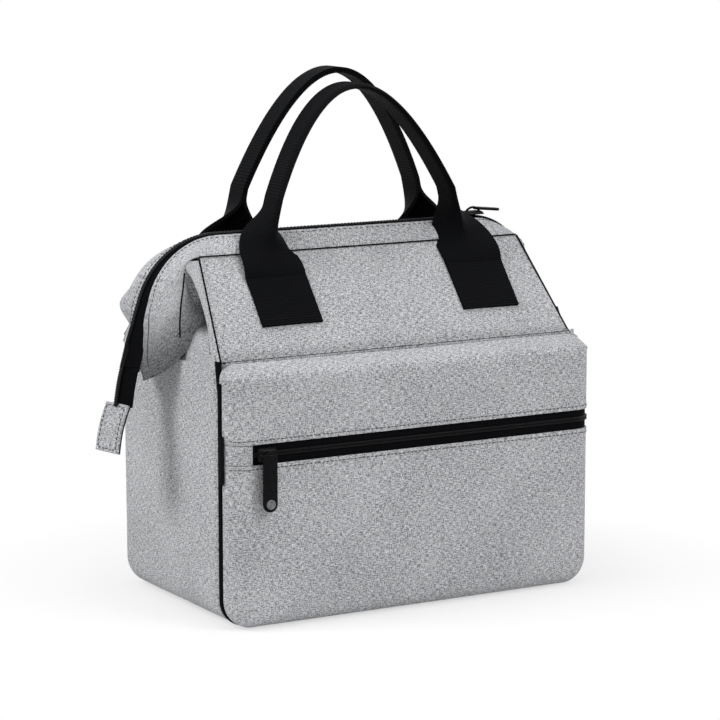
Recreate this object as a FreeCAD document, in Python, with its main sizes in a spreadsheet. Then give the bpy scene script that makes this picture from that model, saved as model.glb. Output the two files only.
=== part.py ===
# Soft insulated lunch bag with a hinged wire-frame mouth, a front zip pocket and two webbing handles.
# Millimetres. X runs across the bag, Y from the pocket (-Y) to the back, Z up.
# The origin is the centre of the base on the surface that the bag stands on.
import FreeCAD, Part
import math
import os
import Sketcher
from FreeCAD import Placement, Rotation, Vector

doc = FreeCAD.newDocument("lunch_bag")
sheet = doc.addObject("Spreadsheet::Sheet", "Sizes")


class Size:
    """A length with its value and the sheet expression that gives it."""

    def __init__(self, value, text):
        self.value = float(value)
        self.text = text

    def __add__(self, other):
        other = as_size(other)
        return Size(self.value + other.value, f"({self.text} + {other.text})")

    def __sub__(self, other):
        other = as_size(other)
        return Size(self.value - other.value, f"({self.text} - {other.text})")

    def __mul__(self, factor):
        return Size(self.value * factor, f"({self.text} * {factor})")

    def __truediv__(self, divisor):
        return Size(self.value / divisor, f"({self.text} / {divisor})")

    def __neg__(self):
        return Size(-self.value, f"(-1 * {self.text})")


def as_size(number):
    return number if isinstance(number, Size) else Size(number, str(number))


class SheetSizes:
    """Reads a driving dimension from the sheet by its alias, as a Size."""

    def __getattr__(self, alias):
        return Size(sheet.get(alias), f"Sizes.{alias}")


# Driving dimensions
driving = {
    # Overall tub and its layers
    "bag_width": 240,
    "bag_depth": 140,
    "tub_height": 150,
    "base_corner_radius": 30,
    "base_seam_inset": 8,
    "cloth_thickness": 1.5,
    "foam_thickness": 4,
    "liner_thickness": 0.8,
    "board_thickness": 2,
    "board_margin": 3,
    "board_corner_radius": 10,
    "soft_gap": 0.3,
    # Front pocket
    "pocket_depth": 16,
    "pocket_drop": 2,
    "pocket_wall": 2,
    "pocket_edge_radius": 8,
    "pocket_top_radius": 6,
    "pocket_lining_thickness": 0.6,
    "piping_diameter": 3,
    "pocket_zip_drop": 50,
    "pocket_zip_width": 11.6,
    "pocket_zip_margin": 13,
    "tape_thickness": 0.8,
    "teeth_width": 3,
    "teeth_rise": 1.2,
    "tag_width": 4,
    "tag_height": 14,
    "tag_thickness": 0.6,
    # Mouth: two leaning halves that meet at the zip over the centre plane
    "seam_rise": 53,
    "seam_half_gap": 17,
    "seam_inset": 11,
    "fold_inset": 1,
    "ridge_rise": 63.3,
    "ridge_half_gap": 4,
    "ear_overhang": 18,
    "ear_tip_drop": 16,
    "ear_corner_radius": 48,
    "ear_seam_inset": 2,
    "ear_seam_rise": 10,
    "ear_seam_radius": 9,
    "frame_wire_inset": 10.5,
    "frame_wire_drop": 6.4,
    "frame_wire_gap": 7,
    "frame_wire_radius": 38,
    "band_thickness": 1.9,
    "frame_wire_diameter": 3,
    "mouth_foam_margin": 6,
    "half_zip_gap": 0.3,
    "zip_tip_rise": 4,
    "gusset_cloth": 1.2,
    # Zip tails and their cloth tabs, hanging from the ears
    "tail_width": 14,
    "tail_top_drop": 1,
    "tail_length": 30,
    "tail_lean": 24,
    "tab_width": 19,
    "tab_length": 27,
    "tab_thickness": 2.6,
    "tab_lean": 15,
    # Webbing handles
    "webbing_width": 38,
    "webbing_thickness": 2,
    "handle_inset": 54,
    "foot_length": 19,
    "front_lift_rise": 40,
    "back_lift_rise": 28,
    "back_handle_lean": 4,
    "grip_inset": 10,
    "grip_thickness": 5,
    "arch_flat": 0.112,
    "front_handle_rise": 103,
    "back_handle_rise": 122,
    "fold_length": 36,
    "fold_middle_width": 26.6,
    "fold_middle_depth": 9.5,
    # Sliders and pulls
    "slider_length": 13,
    "slider_width": 9.5,
    "slider_thickness": 2,
    "slider_corner_radius": 2.375,
    "lug_width": 3,
    "lug_height": 2.8,
    "pivot_diameter": 1.6,
    "pivot_clearance": 0.05,
    "stud_diameter": 2.4,
    "stud_head_diameter": 4.4,
    "stud_head_height": 0.8,
    "pull_width": 7,
    "pull_length": 32,
    "pull_thickness": 2,
    "pull_corner_radius": 3.2,
    "yoke_slot_length": 3.6,
    "rivet_diameter": 5.5,
    "rivet_height": 0.8,
    "main_slider_inset": 6,
    "pocket_slider_inset": 21,
    "running_gap": 0.3,
}
for row, (alias, number) in enumerate(driving.items(), start=1):
    sheet.set(f"A{row}", alias)
    sheet.set(f"B{row}", str(number))
    sheet.setAlias(f"B{row}", alias)
doc.recompute()
size = SheetSizes()

# Planes that several pieces share
half_width = size.bag_width / 2
back_face = size.bag_depth / 2
pocket_face = -back_face
tub_front = pocket_face + size.pocket_depth
centre_plane = (tub_front + back_face) / 2
pocket_top = size.tub_height - size.pocket_drop
pocket_back = tub_front - size.piping_diameter - size.soft_gap / 2

# Heights and places that follow the tub's rim and the ears
pocket_zip_height = size.tub_height - size.pocket_zip_drop
seam_height = size.tub_height + size.seam_rise
ridge_height = size.tub_height + size.ridge_rise
ear_tip_height = size.tub_height - size.ear_tip_drop
ear_seam_height = size.tub_height + size.ear_seam_rise
tail_top_height = size.tub_height - size.tail_top_drop
front_lift_height = size.tub_height + size.front_lift_rise
back_lift_height = size.tub_height + size.back_lift_rise
seam_width = size.bag_width - size.seam_inset * 2
ear_span = half_width + size.ear_overhang
handle_reach = half_width - size.handle_inset
main_slider_place = ear_span - size.ear_corner_radius - size.main_slider_inset
pocket_slider_place = size.pocket_slider_inset - half_width

finished = []


def keep(piece, label):
    """Name a finished sub-part; its label is the name of its node."""
    piece.Label = label
    finished.append(piece)
    return piece


def plain(label, shape):
    """A sub-part whose shape is worked out from the sheet's values."""
    piece = doc.addObject("Part::Feature", label)
    piece.Shape = shape.removeSplitter()
    piece.Placement = Placement()
    return keep(piece, label)


def block(label, low, high):
    """A box between two corners, bound to the sheet."""
    box = doc.addObject("Part::Box", label)
    for side, start, end in zip(("Length", "Width", "Height"), low, high):
        box.setExpression(side, (as_size(end) - start).text)
    for axis, start in zip("xyz", low):
        box.setExpression(f"Placement.Base.{axis}", as_size(start).text)
    return box


def travel(start, end):
    """Direction of an outline's side that runs along an axis, as -1, 0 or 1 each way."""
    across = end[0].value - start[0].value
    along = end[1].value - start[1].value
    if abs(across) > abs(along):
        return int(math.copysign(1, across)), 0
    return 0, int(math.copysign(1, along))


def add_outline(body, plane_role, level, corners):
    """Sketch a closed outline of corners (x, y, radius or None), listed anticlockwise."""
    sketch = body.newObject("Sketcher::SketchObject", "Outline")
    plane = [item for item in body.Origin.OriginFeatures if item.Role == plane_role][0]
    sketch.AttachmentSupport = (plane, "")
    sketch.MapMode = "FlatFace"
    sketch.setExpression("AttachmentOffset.Base.z", as_size(level).text)
    corners = [(as_size(x), as_size(y), radius) for x, y, radius in corners]
    stations = []
    for index, (x, y, radius) in enumerate(corners):
        if radius is None:
            stations.append(((x, y), (x, y), None))
            continue
        come = travel(corners[index - 1], corners[index])
        leave = travel(corners[index], corners[(index + 1) % len(corners)])
        enter = (x - radius * come[0], y - radius * come[1])
        exit_ = (x + radius * leave[0], y + radius * leave[1])
        turn = come[0] * leave[1] - come[1] * leave[0]
        stations.append((enter, exit_, (radius, come, leave, turn)))
    joints = []
    for index, (enter, exit_, arc) in enumerate(stations):
        following = stations[(index + 1) % len(stations)][0]
        if arc is not None:
            radius, come, leave, turn = arc
            centre_x = enter[0].value + leave[0] * radius.value
            centre_y = enter[1].value + leave[1] * radius.value
            first, last = (enter, exit_) if turn > 0 else (exit_, enter)
            angles = [math.atan2(end[1].value - centre_y, end[0].value - centre_x) for end in (first, last)]
            circle = Part.Circle(Vector(centre_x, centre_y, 0), Vector(0, 0, 1), radius.value)
            geo = sketch.addGeometry(Part.ArcOfCircle(circle, angles[0], angles[1]))
            constraint = sketch.addConstraint(Sketcher.Constraint("Radius", geo, radius.value))
            sketch.setExpression(f"Constraints[{constraint}]", radius.text)
            joints.append((geo, 1, 2) if turn > 0 else (geo, 2, 1))
        line = Part.LineSegment(Vector(exit_[0].value, exit_[1].value, 0),
                                Vector(following[0].value, following[1].value, 0))
        geo = sketch.addGeometry(line)
        for direction, place in (("DistanceX", exit_[0]), ("DistanceY", exit_[1])):
            constraint = sketch.addConstraint(Sketcher.Constraint(direction, -1, 1, geo, 1, place.value))
            sketch.setExpression(f"Constraints[{constraint}]", place.text)
        if arc is not None:
            arc_geo, arc_start, _ = joints[-1]
            for direction, place in (("DistanceX", enter[0]), ("DistanceY", enter[1])):
                constraint = sketch.addConstraint(
                    Sketcher.Constraint(direction, -1, 1, arc_geo, arc_start, place.value))
                sketch.setExpression(f"Constraints[{constraint}]", place.text)
        joints.append((geo, 1, 2))
    for index, (geo, _, end) in enumerate(joints):
        next_geo, next_start, _ = joints[(index + 1) % len(joints)]
        sketch.addConstraint(Sketcher.Constraint("Coincident", geo, end, next_geo, next_start))
    return sketch


def padded_body(label, plane_role, level, corners, length):
    """A body made by padding one outline."""
    body = doc.addObject("PartDesign::Body", label)
    sketch = add_outline(body, plane_role, level, corners)
    pad = body.newObject("PartDesign::Pad", "Pad")
    pad.Profile = sketch
    pad.setExpression("Length", as_size(length).text)
    return body


def upright(label, corners, front, back):
    """A body padded from an outline in the X-Z plane, between two Y levels."""
    return padded_body(label, "XZ_Plane", -as_size(back), corners, as_size(back) - front)


def tub_corners(inset, top):
    """Outline of the tub seen from the front, drawn in by an inset."""
    reach = half_width - inset
    radius = size.base_corner_radius - inset
    return [(-reach, inset, radius), (reach, inset, radius), (reach, top, None), (-reach, top, None)]


# Tub shell: side panels with rounded base corners, base, front and back panels
def side_wall(label, hand, inset, thickness, front, back):
    """One side wall of the tub with its rounded lower corner."""
    outer = half_width - inset
    inner = outer - thickness
    top = size.tub_height
    low = as_size(inset)
    radius = size.base_corner_radius - inset
    corners = [
        (outer, low, radius),
        (outer, top, None),
        (inner, top, None),
        (inner, low + thickness, radius - thickness),
        (flat_reach, low + thickness, None),
        (flat_reach, low, None),
    ]
    if hand < 0:
        corners = [(-x, y, corner) for x, y, corner in reversed(corners)]
    return keep(upright(label, corners, front, back), label)


flat_reach = half_width - size.base_corner_radius - size.base_seam_inset
cloth_front = tub_front + size.cloth_thickness
cloth_back = back_face - size.cloth_thickness
foam_front = cloth_front + size.foam_thickness
foam_back = cloth_back - size.foam_thickness
for hand, name in ((-1, "left"), (1, "right")):
    side_wall(f"{name}_side_panel", hand, as_size(0), size.cloth_thickness, cloth_front, cloth_back)
    side_wall(f"{name}_foam", hand, size.cloth_thickness, size.foam_thickness, foam_front, foam_back)

wall = size.cloth_thickness + size.foam_thickness
keep(block("base_panel", (-flat_reach, cloth_front, 0),
           (flat_reach, cloth_back, size.cloth_thickness)), "base_panel")
keep(block("base_foam", (-flat_reach, foam_front, size.cloth_thickness),
           (flat_reach, foam_back, wall)), "base_foam")
cloth_outline = tub_corners(as_size(0), size.tub_height)
foam_outline = tub_corners(size.cloth_thickness, size.tub_height)
keep(upright("front_panel", cloth_outline, tub_front, cloth_front), "front_panel")
keep(upright("back_panel", cloth_outline, cloth_back, back_face), "back_panel")
keep(upright("front_foam", foam_outline, cloth_front, foam_front), "front_foam")
keep(upright("back_foam", foam_outline, foam_back, cloth_back), "back_foam")

# Foil liner: a tub-shaped skin inside the foam
tub_liner = upright("tub_liner", tub_corners(wall, size.tub_height), foam_front, foam_back)
hollow_outline = tub_corners(wall + size.liner_thickness, size.tub_height + size.liner_thickness)
hollow = add_outline(tub_liner, "XZ_Plane", size.liner_thickness - foam_back, hollow_outline)
doc.recompute()
hollow_cut = tub_liner.newObject("PartDesign::Pocket", "Hollow")
hollow_cut.Profile = hollow
hollow_cut.Reversed = True
hollow_cut.setExpression("Length", (foam_back - foam_front - size.liner_thickness * 2).text)
keep(tub_liner, "tub_liner")

# Stiff board that lies on the liner's floor
board_low = wall + size.liner_thickness
board_reach = flat_reach - size.board_margin
board_front = foam_front + size.liner_thickness + size.board_margin
board_back = foam_back - size.liner_thickness - size.board_margin
board = padded_body("base_board", "XY_Plane", board_low, [
    (-board_reach, board_front, size.board_corner_radius),
    (board_reach, board_front, size.board_corner_radius),
    (board_reach, board_back, size.board_corner_radius),
    (-board_reach, board_back, size.board_corner_radius),
], size.board_thickness)
keep(board, "base_board")


# Front piping: a cord sewn round the front edge of the sides and base
def rounded_u(reach, low, top, radius):
    """A wire down one side, round the base corners and up the other side, in the X-Z plane."""
    bend = radius * math.sin(math.pi / 4)
    left_mid = Vector(-reach + radius - bend, 0, low + radius - bend)
    right_mid = Vector(reach - radius + bend, 0, low + radius - bend)
    edges = [
        Part.LineSegment(Vector(-reach, 0, top), Vector(-reach, 0, low + radius)),
        Part.Arc(Vector(-reach, 0, low + radius), left_mid, Vector(-reach + radius, 0, low)),
        Part.LineSegment(Vector(-reach + radius, 0, low), Vector(reach - radius, 0, low)),
        Part.Arc(Vector(reach - radius, 0, low), right_mid, Vector(reach, 0, low + radius)),
        Part.LineSegment(Vector(reach, 0, low + radius), Vector(reach, 0, top)),
    ]
    return Part.Wire([edge.toShape() for edge in edges])


def swept(path, profile):
    """A solid swept along a flat path of lines and tangent arcs."""
    return path.makePipeShell([profile], True, False)


piping_inset = size.piping_diameter.value / 2 + size.soft_gap.value / 2
piping_top = pocket_top.value - size.pocket_top_radius.value
piping_radius = size.base_corner_radius.value - piping_inset
piping_path = rounded_u(half_width.value - piping_inset, piping_inset, piping_top, piping_radius)
piping_ring = Part.Circle(piping_path.Vertexes[0].Point, Vector(0, 0, 1), size.piping_diameter.value / 2)
piping = swept(piping_path, Part.Wire(piping_ring.toShape()))
piping.translate(Vector(0, tub_front.value - piping_inset, 0))
plain("front_piping", piping)


# Front pocket: a shallow padded tray sewn over the front panel, split by its zip
def tray(inset, back):
    """The pocket's full volume, drawn in by an inset, with rounded front edges."""
    reach = half_width.value - inset
    low = size.soft_gap.value + inset
    top = pocket_top.value - inset
    base_radius = size.base_corner_radius.value - size.soft_gap.value - inset
    top_radius = size.pocket_top_radius.value - inset
    turn = 1 - math.sin(math.pi / 4)
    outline = []
    for hand in (-1, 1):
        outline.append([
            Part.Arc(Vector(hand * reach, back, low + base_radius),
                     Vector(hand * (reach - base_radius * turn), back, low + base_radius * turn),
                     Vector(hand * (reach - base_radius), back, low)),
            Part.LineSegment(Vector(hand * reach, back, low + base_radius),
                             Vector(hand * reach, back, top - top_radius)),
            Part.Arc(Vector(hand * reach, back, top - top_radius),
                     Vector(hand * (reach - top_radius * turn), back, top - top_radius * turn),
                     Vector(hand * (reach - top_radius), back, top)),
        ])
    floor_reach = reach - base_radius
    roof_reach = reach - top_radius
    floor_edge = Part.LineSegment(Vector(-floor_reach, back, low), Vector(floor_reach, back, low))
    roof_edge = Part.LineSegment(Vector(-roof_reach, back, top), Vector(roof_reach, back, top))
    curves = outline[0] + outline[1] + [floor_edge, roof_edge]
    edges = Part.sortEdges([curve.toShape() for curve in curves])[0]
    front = pocket_face.value + inset
    solid = Part.Face(Part.Wire(edges)).extrude(Vector(0, front - back, 0))
    rim = [edge for edge in solid.Edges if edge.BoundBox.YMax < front + size.soft_gap.value]
    return solid.makeFillet(size.pocket_edge_radius.value - inset, rim)


def tray_skin(inset, thickness):
    """The tray's wall of one thickness, open at its back."""
    back = pocket_back.value
    return tray(inset, back).cut(tray(inset + thickness, back + thickness))


def slab_box(x_low, x_high, z_low, z_high):
    """A box through the whole pocket, to cut pieces out of its walls."""
    deep = size.bag_depth.value
    start = Vector(x_low, pocket_back.value - deep, z_low)
    return Part.makeBox(x_high - x_low, deep, z_high - z_low, start)


zip_low = pocket_zip_height.value - size.pocket_zip_width.value / 2
zip_high = pocket_zip_height.value + size.pocket_zip_width.value / 2
zip_start = size.pocket_zip_margin.value - half_width.value
beyond = size.bag_width.value
pocket_skin = tray_skin(0, size.pocket_wall.value)
plain("pocket_lower_panel", pocket_skin.common(slab_box(-beyond, beyond, -beyond, zip_low)))
shelf_reach = half_width.value - size.pocket_top_radius.value
shelf_low = pocket_top.value - size.pocket_wall.value
shelf = Part.makeBox(
    2 * shelf_reach,
    tub_front.value - size.soft_gap.value / 2 - pocket_back.value,
    size.pocket_wall.value,
    Vector(-shelf_reach, pocket_back.value, shelf_low),
)
plain("pocket_upper_panel", pocket_skin.common(slab_box(-beyond, beyond, zip_high, beyond)).fuse(shelf))
plain("pocket_zip_stop", pocket_skin.common(slab_box(-beyond, zip_start, zip_low, zip_high)))

tape_inset = size.tape_thickness.value / 2
tape_skin = tray_skin(tape_inset, size.tape_thickness.value)
tape_start = zip_start + size.soft_gap.value / 2
plain("pocket_zip_lower_tape", tape_skin.common(
    slab_box(tape_start, beyond, zip_low, pocket_zip_height.value - size.half_zip_gap.value / 2)))
plain("pocket_zip_upper_tape", tape_skin.common(
    slab_box(tape_start, beyond, pocket_zip_height.value + size.half_zip_gap.value / 2, zip_high)))
teeth_skin = tray_skin(tape_inset - size.teeth_rise.value, size.teeth_rise.value)
plain("pocket_zip_teeth", teeth_skin.common(
    slab_box(tape_start, beyond, pocket_zip_height.value - size.teeth_width.value / 2,
             pocket_zip_height.value + size.teeth_width.value / 2)))

lining_inset = size.pocket_wall + size.soft_gap
lining_back = pocket_back - size.soft_gap / 2
lining_reach = half_width - lining_inset
lining_low = lining_inset + size.soft_gap
lining_radius = size.base_corner_radius - size.soft_gap - lining_inset
lining_top_radius = size.pocket_top_radius - size.pocket_wall
keep(upright("pocket_lining", [
    (-lining_reach, lining_low, lining_radius),
    (lining_reach, lining_low, lining_radius),
    (lining_reach, pocket_top - lining_inset, lining_top_radius),
    (-lining_reach, pocket_top - lining_inset, lining_top_radius),
], lining_back - size.pocket_lining_thickness, lining_back), "pocket_lining")

# Plain woven tag beside the piping, level with the lower edge of the pocket zip
tag_back = pocket_back - size.soft_gap
tag_front = tag_back - size.tag_width
tag_low = pocket_zip_height - size.tag_height
keep(block("side_tag", (-half_width - size.tag_thickness, tag_front, tag_low),
           (-half_width, tag_back, pocket_zip_height)), "side_tag")


# Mouth halves: side -1 is the front half, +1 the back half
fold_height = size.tub_height.value + size.soft_gap.value
fold_half_gap = (back_face.value - tub_front.value) / 2 - size.fold_inset.value
lean_run = fold_half_gap - size.seam_half_gap.value
lean_rise = seam_height.value - fold_height
slant = math.hypot(lean_run, lean_rise) / lean_rise
fold_width = size.bag_width.value - 4 * size.fold_inset.value


def face_gap(height):
    """Distance from the centre plane to the outer face of a leaning panel at one height."""
    return fold_half_gap - lean_run * (height - fold_height) / lean_rise


def face_reach(height):
    """Half of the leaning panel's width at one height."""
    return (fold_width - (fold_width - seam_width.value) * (height - fold_height) / lean_rise) / 2


def level_rectangle(x_low, x_high, side, gap_out, gap_in, height):
    """A level rectangle on one side of the centre plane."""
    y_out = centre_plane.value + side * gap_out
    y_in = centre_plane.value + side * gap_in
    points = [(x_low, y_out), (x_high, y_out), (x_high, y_in), (x_low, y_in), (x_low, y_out)]
    return Part.makePolygon([Vector(x, y, height) for x, y in points])


def leaf(side, low, high, margin, depth, thickness):
    """One layer of a leaning mouth panel, at a depth below its outer face."""
    rings = []
    for height in (low, high):
        reach = face_reach(height) - margin
        gap = face_gap(height) - depth * slant
        rings.append(level_rectangle(-reach, reach, side, gap, gap - thickness * slant, height))
    return Part.makeLoft(rings, True, True)


ear_reach = ear_span.value
seam_reach = half_width.value - size.ear_seam_inset.value
seam_top = seam_height.value + size.soft_gap.value
band_drop = ridge_height.value - seam_top
band_run = size.seam_half_gap.value - size.ridge_half_gap.value


def mouth_path(reach, top, radius, tip):
    """Path of the mouth frame in the X-Z plane: up one ear, across the top and down the other ear."""
    path = rounded_u(reach, -top, -tip, radius)
    path.rotate(Vector(), Vector(1, 0, 0), 180)
    return path


def ear_sweep(side, tip, corners):
    """A strip along the mouth's ridge; corners are (inset from the ridge, gap from the centre plane)."""
    points = [Vector(inset - ear_reach, centre_plane.value + side * gap, tip) for inset, gap in corners]
    path = mouth_path(ear_reach, ridge_height.value, size.ear_corner_radius.value, tip)
    return swept(path, Part.makePolygon(points + points[:1]))


def ruled_solid(wires):
    """A closed solid ruled between four wires that have as many edges each."""
    faces = []
    for first, second in zip(wires, wires[1:] + wires[:1]):
        for edge, other in zip(first.OrderedEdges, second.OrderedEdges):
            faces.append(Part.makeRuledSurface(edge, other))
    for end in (0, -1):
        ends = [wire.OrderedVertexes[end].Point for wire in wires]
        for corners in ((ends[0], ends[1], ends[2]), (ends[0], ends[2], ends[3])):
            faces.append(Part.Face(Part.makePolygon(list(corners) + [corners[0]])))
    skin = Part.makeCompound(faces)
    skin.sewShape()
    solid = Part.makeSolid(skin.Shells[0])
    if solid.Volume < 0:
        solid.reverse()
    return solid


def band(side):
    """Cloth band from the panel's seam up to the zip, widening into the ears at both ends."""
    inner_seam_gap = size.seam_half_gap.value - size.band_thickness.value * band_run / band_drop
    inner = size.band_thickness.value
    ridge_radius = size.ear_corner_radius.value
    stations = [
        (seam_reach, seam_top, size.ear_seam_radius.value, ear_seam_height.value, size.seam_half_gap.value),
        (ear_reach, ridge_height.value, ridge_radius, ear_tip_height.value, size.ridge_half_gap.value),
        (ear_reach - inner, ridge_height.value - inner, ridge_radius - inner, ear_tip_height.value,
         size.ridge_half_gap.value),
        (seam_reach, seam_top, size.ear_seam_radius.value, ear_seam_height.value, inner_seam_gap),
    ]
    wires = []
    for reach, top, radius, tip, gap in stations:
        wire = mouth_path(reach, top, radius, tip)
        wire.translate(Vector(0, centre_plane.value + side * gap, 0))
        wires.append(wire)
    return ruled_solid(wires)


def frame_wire(side):
    """The sprung steel wire that lies under the band and holds the mouth's shape."""
    reach = ear_reach - size.frame_wire_inset.value
    tip = size.tub_height.value + size.frame_wire_diameter.value / 2
    top = ridge_height.value - size.frame_wire_drop.value
    path = mouth_path(reach, top, size.frame_wire_radius.value, tip)
    start = Vector(-reach, centre_plane.value + side * size.frame_wire_gap.value, tip)
    ring = Part.Circle(start, Vector(0, 0, 1), size.frame_wire_diameter.value / 2)
    return swept(path, Part.Wire(ring.toShape()))


tape_top = size.soft_gap.value
tape_corners = [
    (tape_top, size.ridge_half_gap.value - size.soft_gap.value / 2),
    (tape_top, 2 * size.half_zip_gap.value),
    (tape_top + size.tape_thickness.value, 2 * size.half_zip_gap.value),
    (tape_top + size.tape_thickness.value, size.ridge_half_gap.value - size.soft_gap.value / 2),
]
teeth_corners = [
    (tape_top - size.teeth_rise.value, size.half_zip_gap.value / 2),
    (tape_top - size.teeth_rise.value, size.teeth_width.value / 2),
    (tape_top, size.teeth_width.value / 2),
    (tape_top, size.half_zip_gap.value / 2),
]
zip_tip = fold_height + size.zip_tip_rise.value
leaf_foam_top = seam_height.value - size.mouth_foam_margin.value / 2


def gusset(side, hand):
    """Folded side cloth between a leaning panel, an ear and the tub's top edge."""
    clear = size.fold_inset.value * 2
    edge_gap = size.seam_half_gap.value + size.gusset_cloth.value
    side_reach = half_width.value + size.soft_gap.value

    def corner(reach, gap, height):
        return Vector(hand * reach, centre_plane.value + side * gap, height)

    fold_point = corner(side_reach, fold_half_gap - clear, size.tub_height.value + clear)
    top_point = corner(seam_width.value / 2 + clear, edge_gap, seam_height.value - clear)
    ear_point = corner(side_reach, edge_gap, ear_seam_height.value - 3 * clear)
    tip_point = corner(ear_reach - clear, size.ridge_half_gap.value + clear, ear_tip_height.value - clear)
    crease_point = corner(side_reach, size.half_zip_gap.value, size.tub_height.value + clear)
    outward = Vector(hand * size.gusset_cloth.value, 0, 0)
    down = Vector(0, 0, -size.gusset_cloth.value)
    facets = []
    for points, offset in (
        ((fold_point, top_point, ear_point), outward),
        ((fold_point, ear_point, crease_point), outward),
        ((ear_point, tip_point, crease_point), down),
    ):
        facet = Part.Face(Part.makePolygon(list(points) + [points[0]]))
        facets.append(facet.extrude(offset))
    return facets[0].fuse(facets[1:])


def foot(side, hand, lift):
    """The flat end of a handle, sewn on the outer face of a leaning panel."""
    middle = hand * handle_reach.value
    half_webbing = size.webbing_width.value / 2
    rings = []
    for height in (lift - size.foot_length.value, lift):
        gap = face_gap(height)
        outer_gap = gap + size.webbing_thickness.value * slant
        rings.append(level_rectangle(middle - half_webbing, middle + half_webbing,
                                     side, outer_gap, gap, height))
    return Part.makeLoft(rings, True, True)


def handle(side, lift, rise, lean):
    """The free loop of a handle: two feet folding into an arched grip."""
    pivot_gap = face_gap(lift) + size.webbing_thickness.value * slant
    start = lift + size.soft_gap.value
    neck = start + size.fold_length.value
    grip_depth = size.webbing_width.value / 2
    foot_reach = handle_reach.value
    grip_reach = foot_reach - size.grip_inset.value
    half_grip = size.grip_thickness.value / 2
    stages = [
        (start, foot_reach, size.webbing_width.value, size.webbing_thickness.value),
        (start + size.fold_length.value / 2, (foot_reach + grip_reach) / 2,
         size.fold_middle_width.value, size.fold_middle_depth.value),
        (neck, grip_reach, size.grip_thickness.value, grip_depth),
    ]
    pieces = []
    for hand in (-1, 1):
        rings = []
        for height, reach, width, depth in stages:
            middle = hand * reach
            rings.append(level_rectangle(middle - width / 2, middle + width / 2,
                                         side, pivot_gap, pivot_gap - depth, height))
        pieces.append(Part.makeLoft(rings, True, True))
    apex = lift + rise
    arch_radius = grip_reach - size.arch_flat.value / 2
    path = rounded_u(grip_reach, -apex, -neck, arch_radius)
    path.rotate(Vector(), Vector(1, 0, 0), 180)
    grip_ring = level_rectangle(-grip_reach - half_grip, -grip_reach + half_grip,
                                side, pivot_gap, pivot_gap - grip_depth, neck)
    loop = swept(path, grip_ring).fuse(pieces)
    pivot = Vector(0, centre_plane.value + side * pivot_gap, lift)
    loop.rotate(pivot, Vector(1, 0, 0), -side * lean)
    return loop


mouth_sides = (
    (-1, "front", front_lift_height.value, size.front_handle_rise.value, 0),
    (1, "back", back_lift_height.value, size.back_handle_rise.value, size.back_handle_lean.value),
)
foam_margin = size.mouth_foam_margin.value
cloth = size.cloth_thickness.value
foam = size.foam_thickness.value
for side, name, lift, rise, lean in mouth_sides:
    plain(f"{name}_mouth_panel", leaf(side, fold_height, seam_height.value, 0, 0, cloth))
    plain(f"{name}_mouth_foam", leaf(side, fold_height, leaf_foam_top, foam_margin, cloth, foam))
    plain(f"{name}_mouth_liner", leaf(side, fold_height, leaf_foam_top, foam_margin,
                                      cloth + foam, size.liner_thickness.value))
    plain(f"{name}_band", band(side))
    plain(f"{name}_frame_wire", frame_wire(side))
    plain(f"{name}_zip_tape", ear_sweep(side, zip_tip, tape_corners))
    plain(f"{name}_zip_teeth", ear_sweep(side, zip_tip, teeth_corners))
    for hand, hand_name in ((-1, "left"), (1, "right")):
        plain(f"{hand_name}_{name}_gusset", gusset(side, hand))
        plain(f"{name}_{hand_name}_foot", foot(side, hand, lift))
    plain(f"{name}_handle", handle(side, lift, rise, lean))


# Zip tails: the closed end of the zip below each ear, finished with a folded cloth tab
def hanging_strip(hand, top, lean, length, thickness, width):
    """A flat strip that hangs from a point and leans away from the bag."""
    down = Vector(hand * math.sin(math.radians(lean)), 0, -math.cos(math.radians(lean)))
    outward = Vector(hand * math.cos(math.radians(lean)), 0, math.sin(math.radians(lean)))
    start = Vector(top.x, centre_plane.value - width / 2, top.z)
    end = start + down * length
    points = [start, end, end + outward * thickness, start + outward * thickness, start]
    face = Part.Face(Part.makePolygon(points))
    return face.extrude(Vector(0, width, 0)), end


for hand, name in ((-1, "left"), (1, "right")):
    top = Vector(hand * (ear_reach + size.soft_gap.value), 0, tail_top_height.value)
    tail, tail_end = hanging_strip(hand, top, size.tail_lean.value, size.tail_length.value,
                                   size.tape_thickness.value + size.teeth_rise.value, size.tail_width.value)
    plain(f"{name}_zip_tail", tail)
    tab_top = tail_end - Vector(0, 0, size.soft_gap.value)
    tab, _ = hanging_strip(hand, tab_top, size.tab_lean.value, size.tab_length.value,
                           size.tab_thickness.value, size.tab_width.value)
    plain(f"{name}_zip_tab", tab)


# Main zip slider on the top run, with a pull on a cross pin
def rounded_plate(place, middle, length, width, radius):
    """Corners of a plate with rounded ends, about its middle."""
    x_low = place - length / 2
    x_high = place + length / 2
    low = middle - width / 2
    high = middle + width / 2
    return [(x_low, low, radius), (x_high, low, radius), (x_high, high, radius), (x_low, high, radius)]


slider_low = ridge_height + size.teeth_rise - size.soft_gap + size.running_gap
plate_top = slider_low + size.slider_thickness
pivot_height = plate_top + size.running_gap + size.pull_thickness / 2
slider_outline = rounded_plate(main_slider_place, centre_plane, size.slider_length, size.slider_width,
                               size.slider_corner_radius)
slider_plate = padded_body("main_slider_plate", "XY_Plane", slider_low, slider_outline,
                           size.slider_thickness)
half_lug = size.lug_width / 2
main_lug = block("main_slider_lug",
                 (main_slider_place - half_lug, centre_plane - half_lug, plate_top),
                 (main_slider_place + half_lug, centre_plane + half_lug, plate_top + size.lug_height))


def cross_cylinder(label, diameter, x, y_low, y_high, z):
    """A round bar or bore along Y between two levels."""
    bar = doc.addObject("Part::Cylinder", label)
    bar.setExpression("Radius", (diameter / 2).text)
    bar.setExpression("Height", (as_size(y_high) - y_low).text)
    bar.Placement = Placement(Vector(), Rotation(Vector(1, 0, 0), -90))
    for axis, place in zip("xyz", (x, y_low, z)):
        bar.setExpression(f"Placement.Base.{axis}", as_size(place).text)
    return bar


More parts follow.
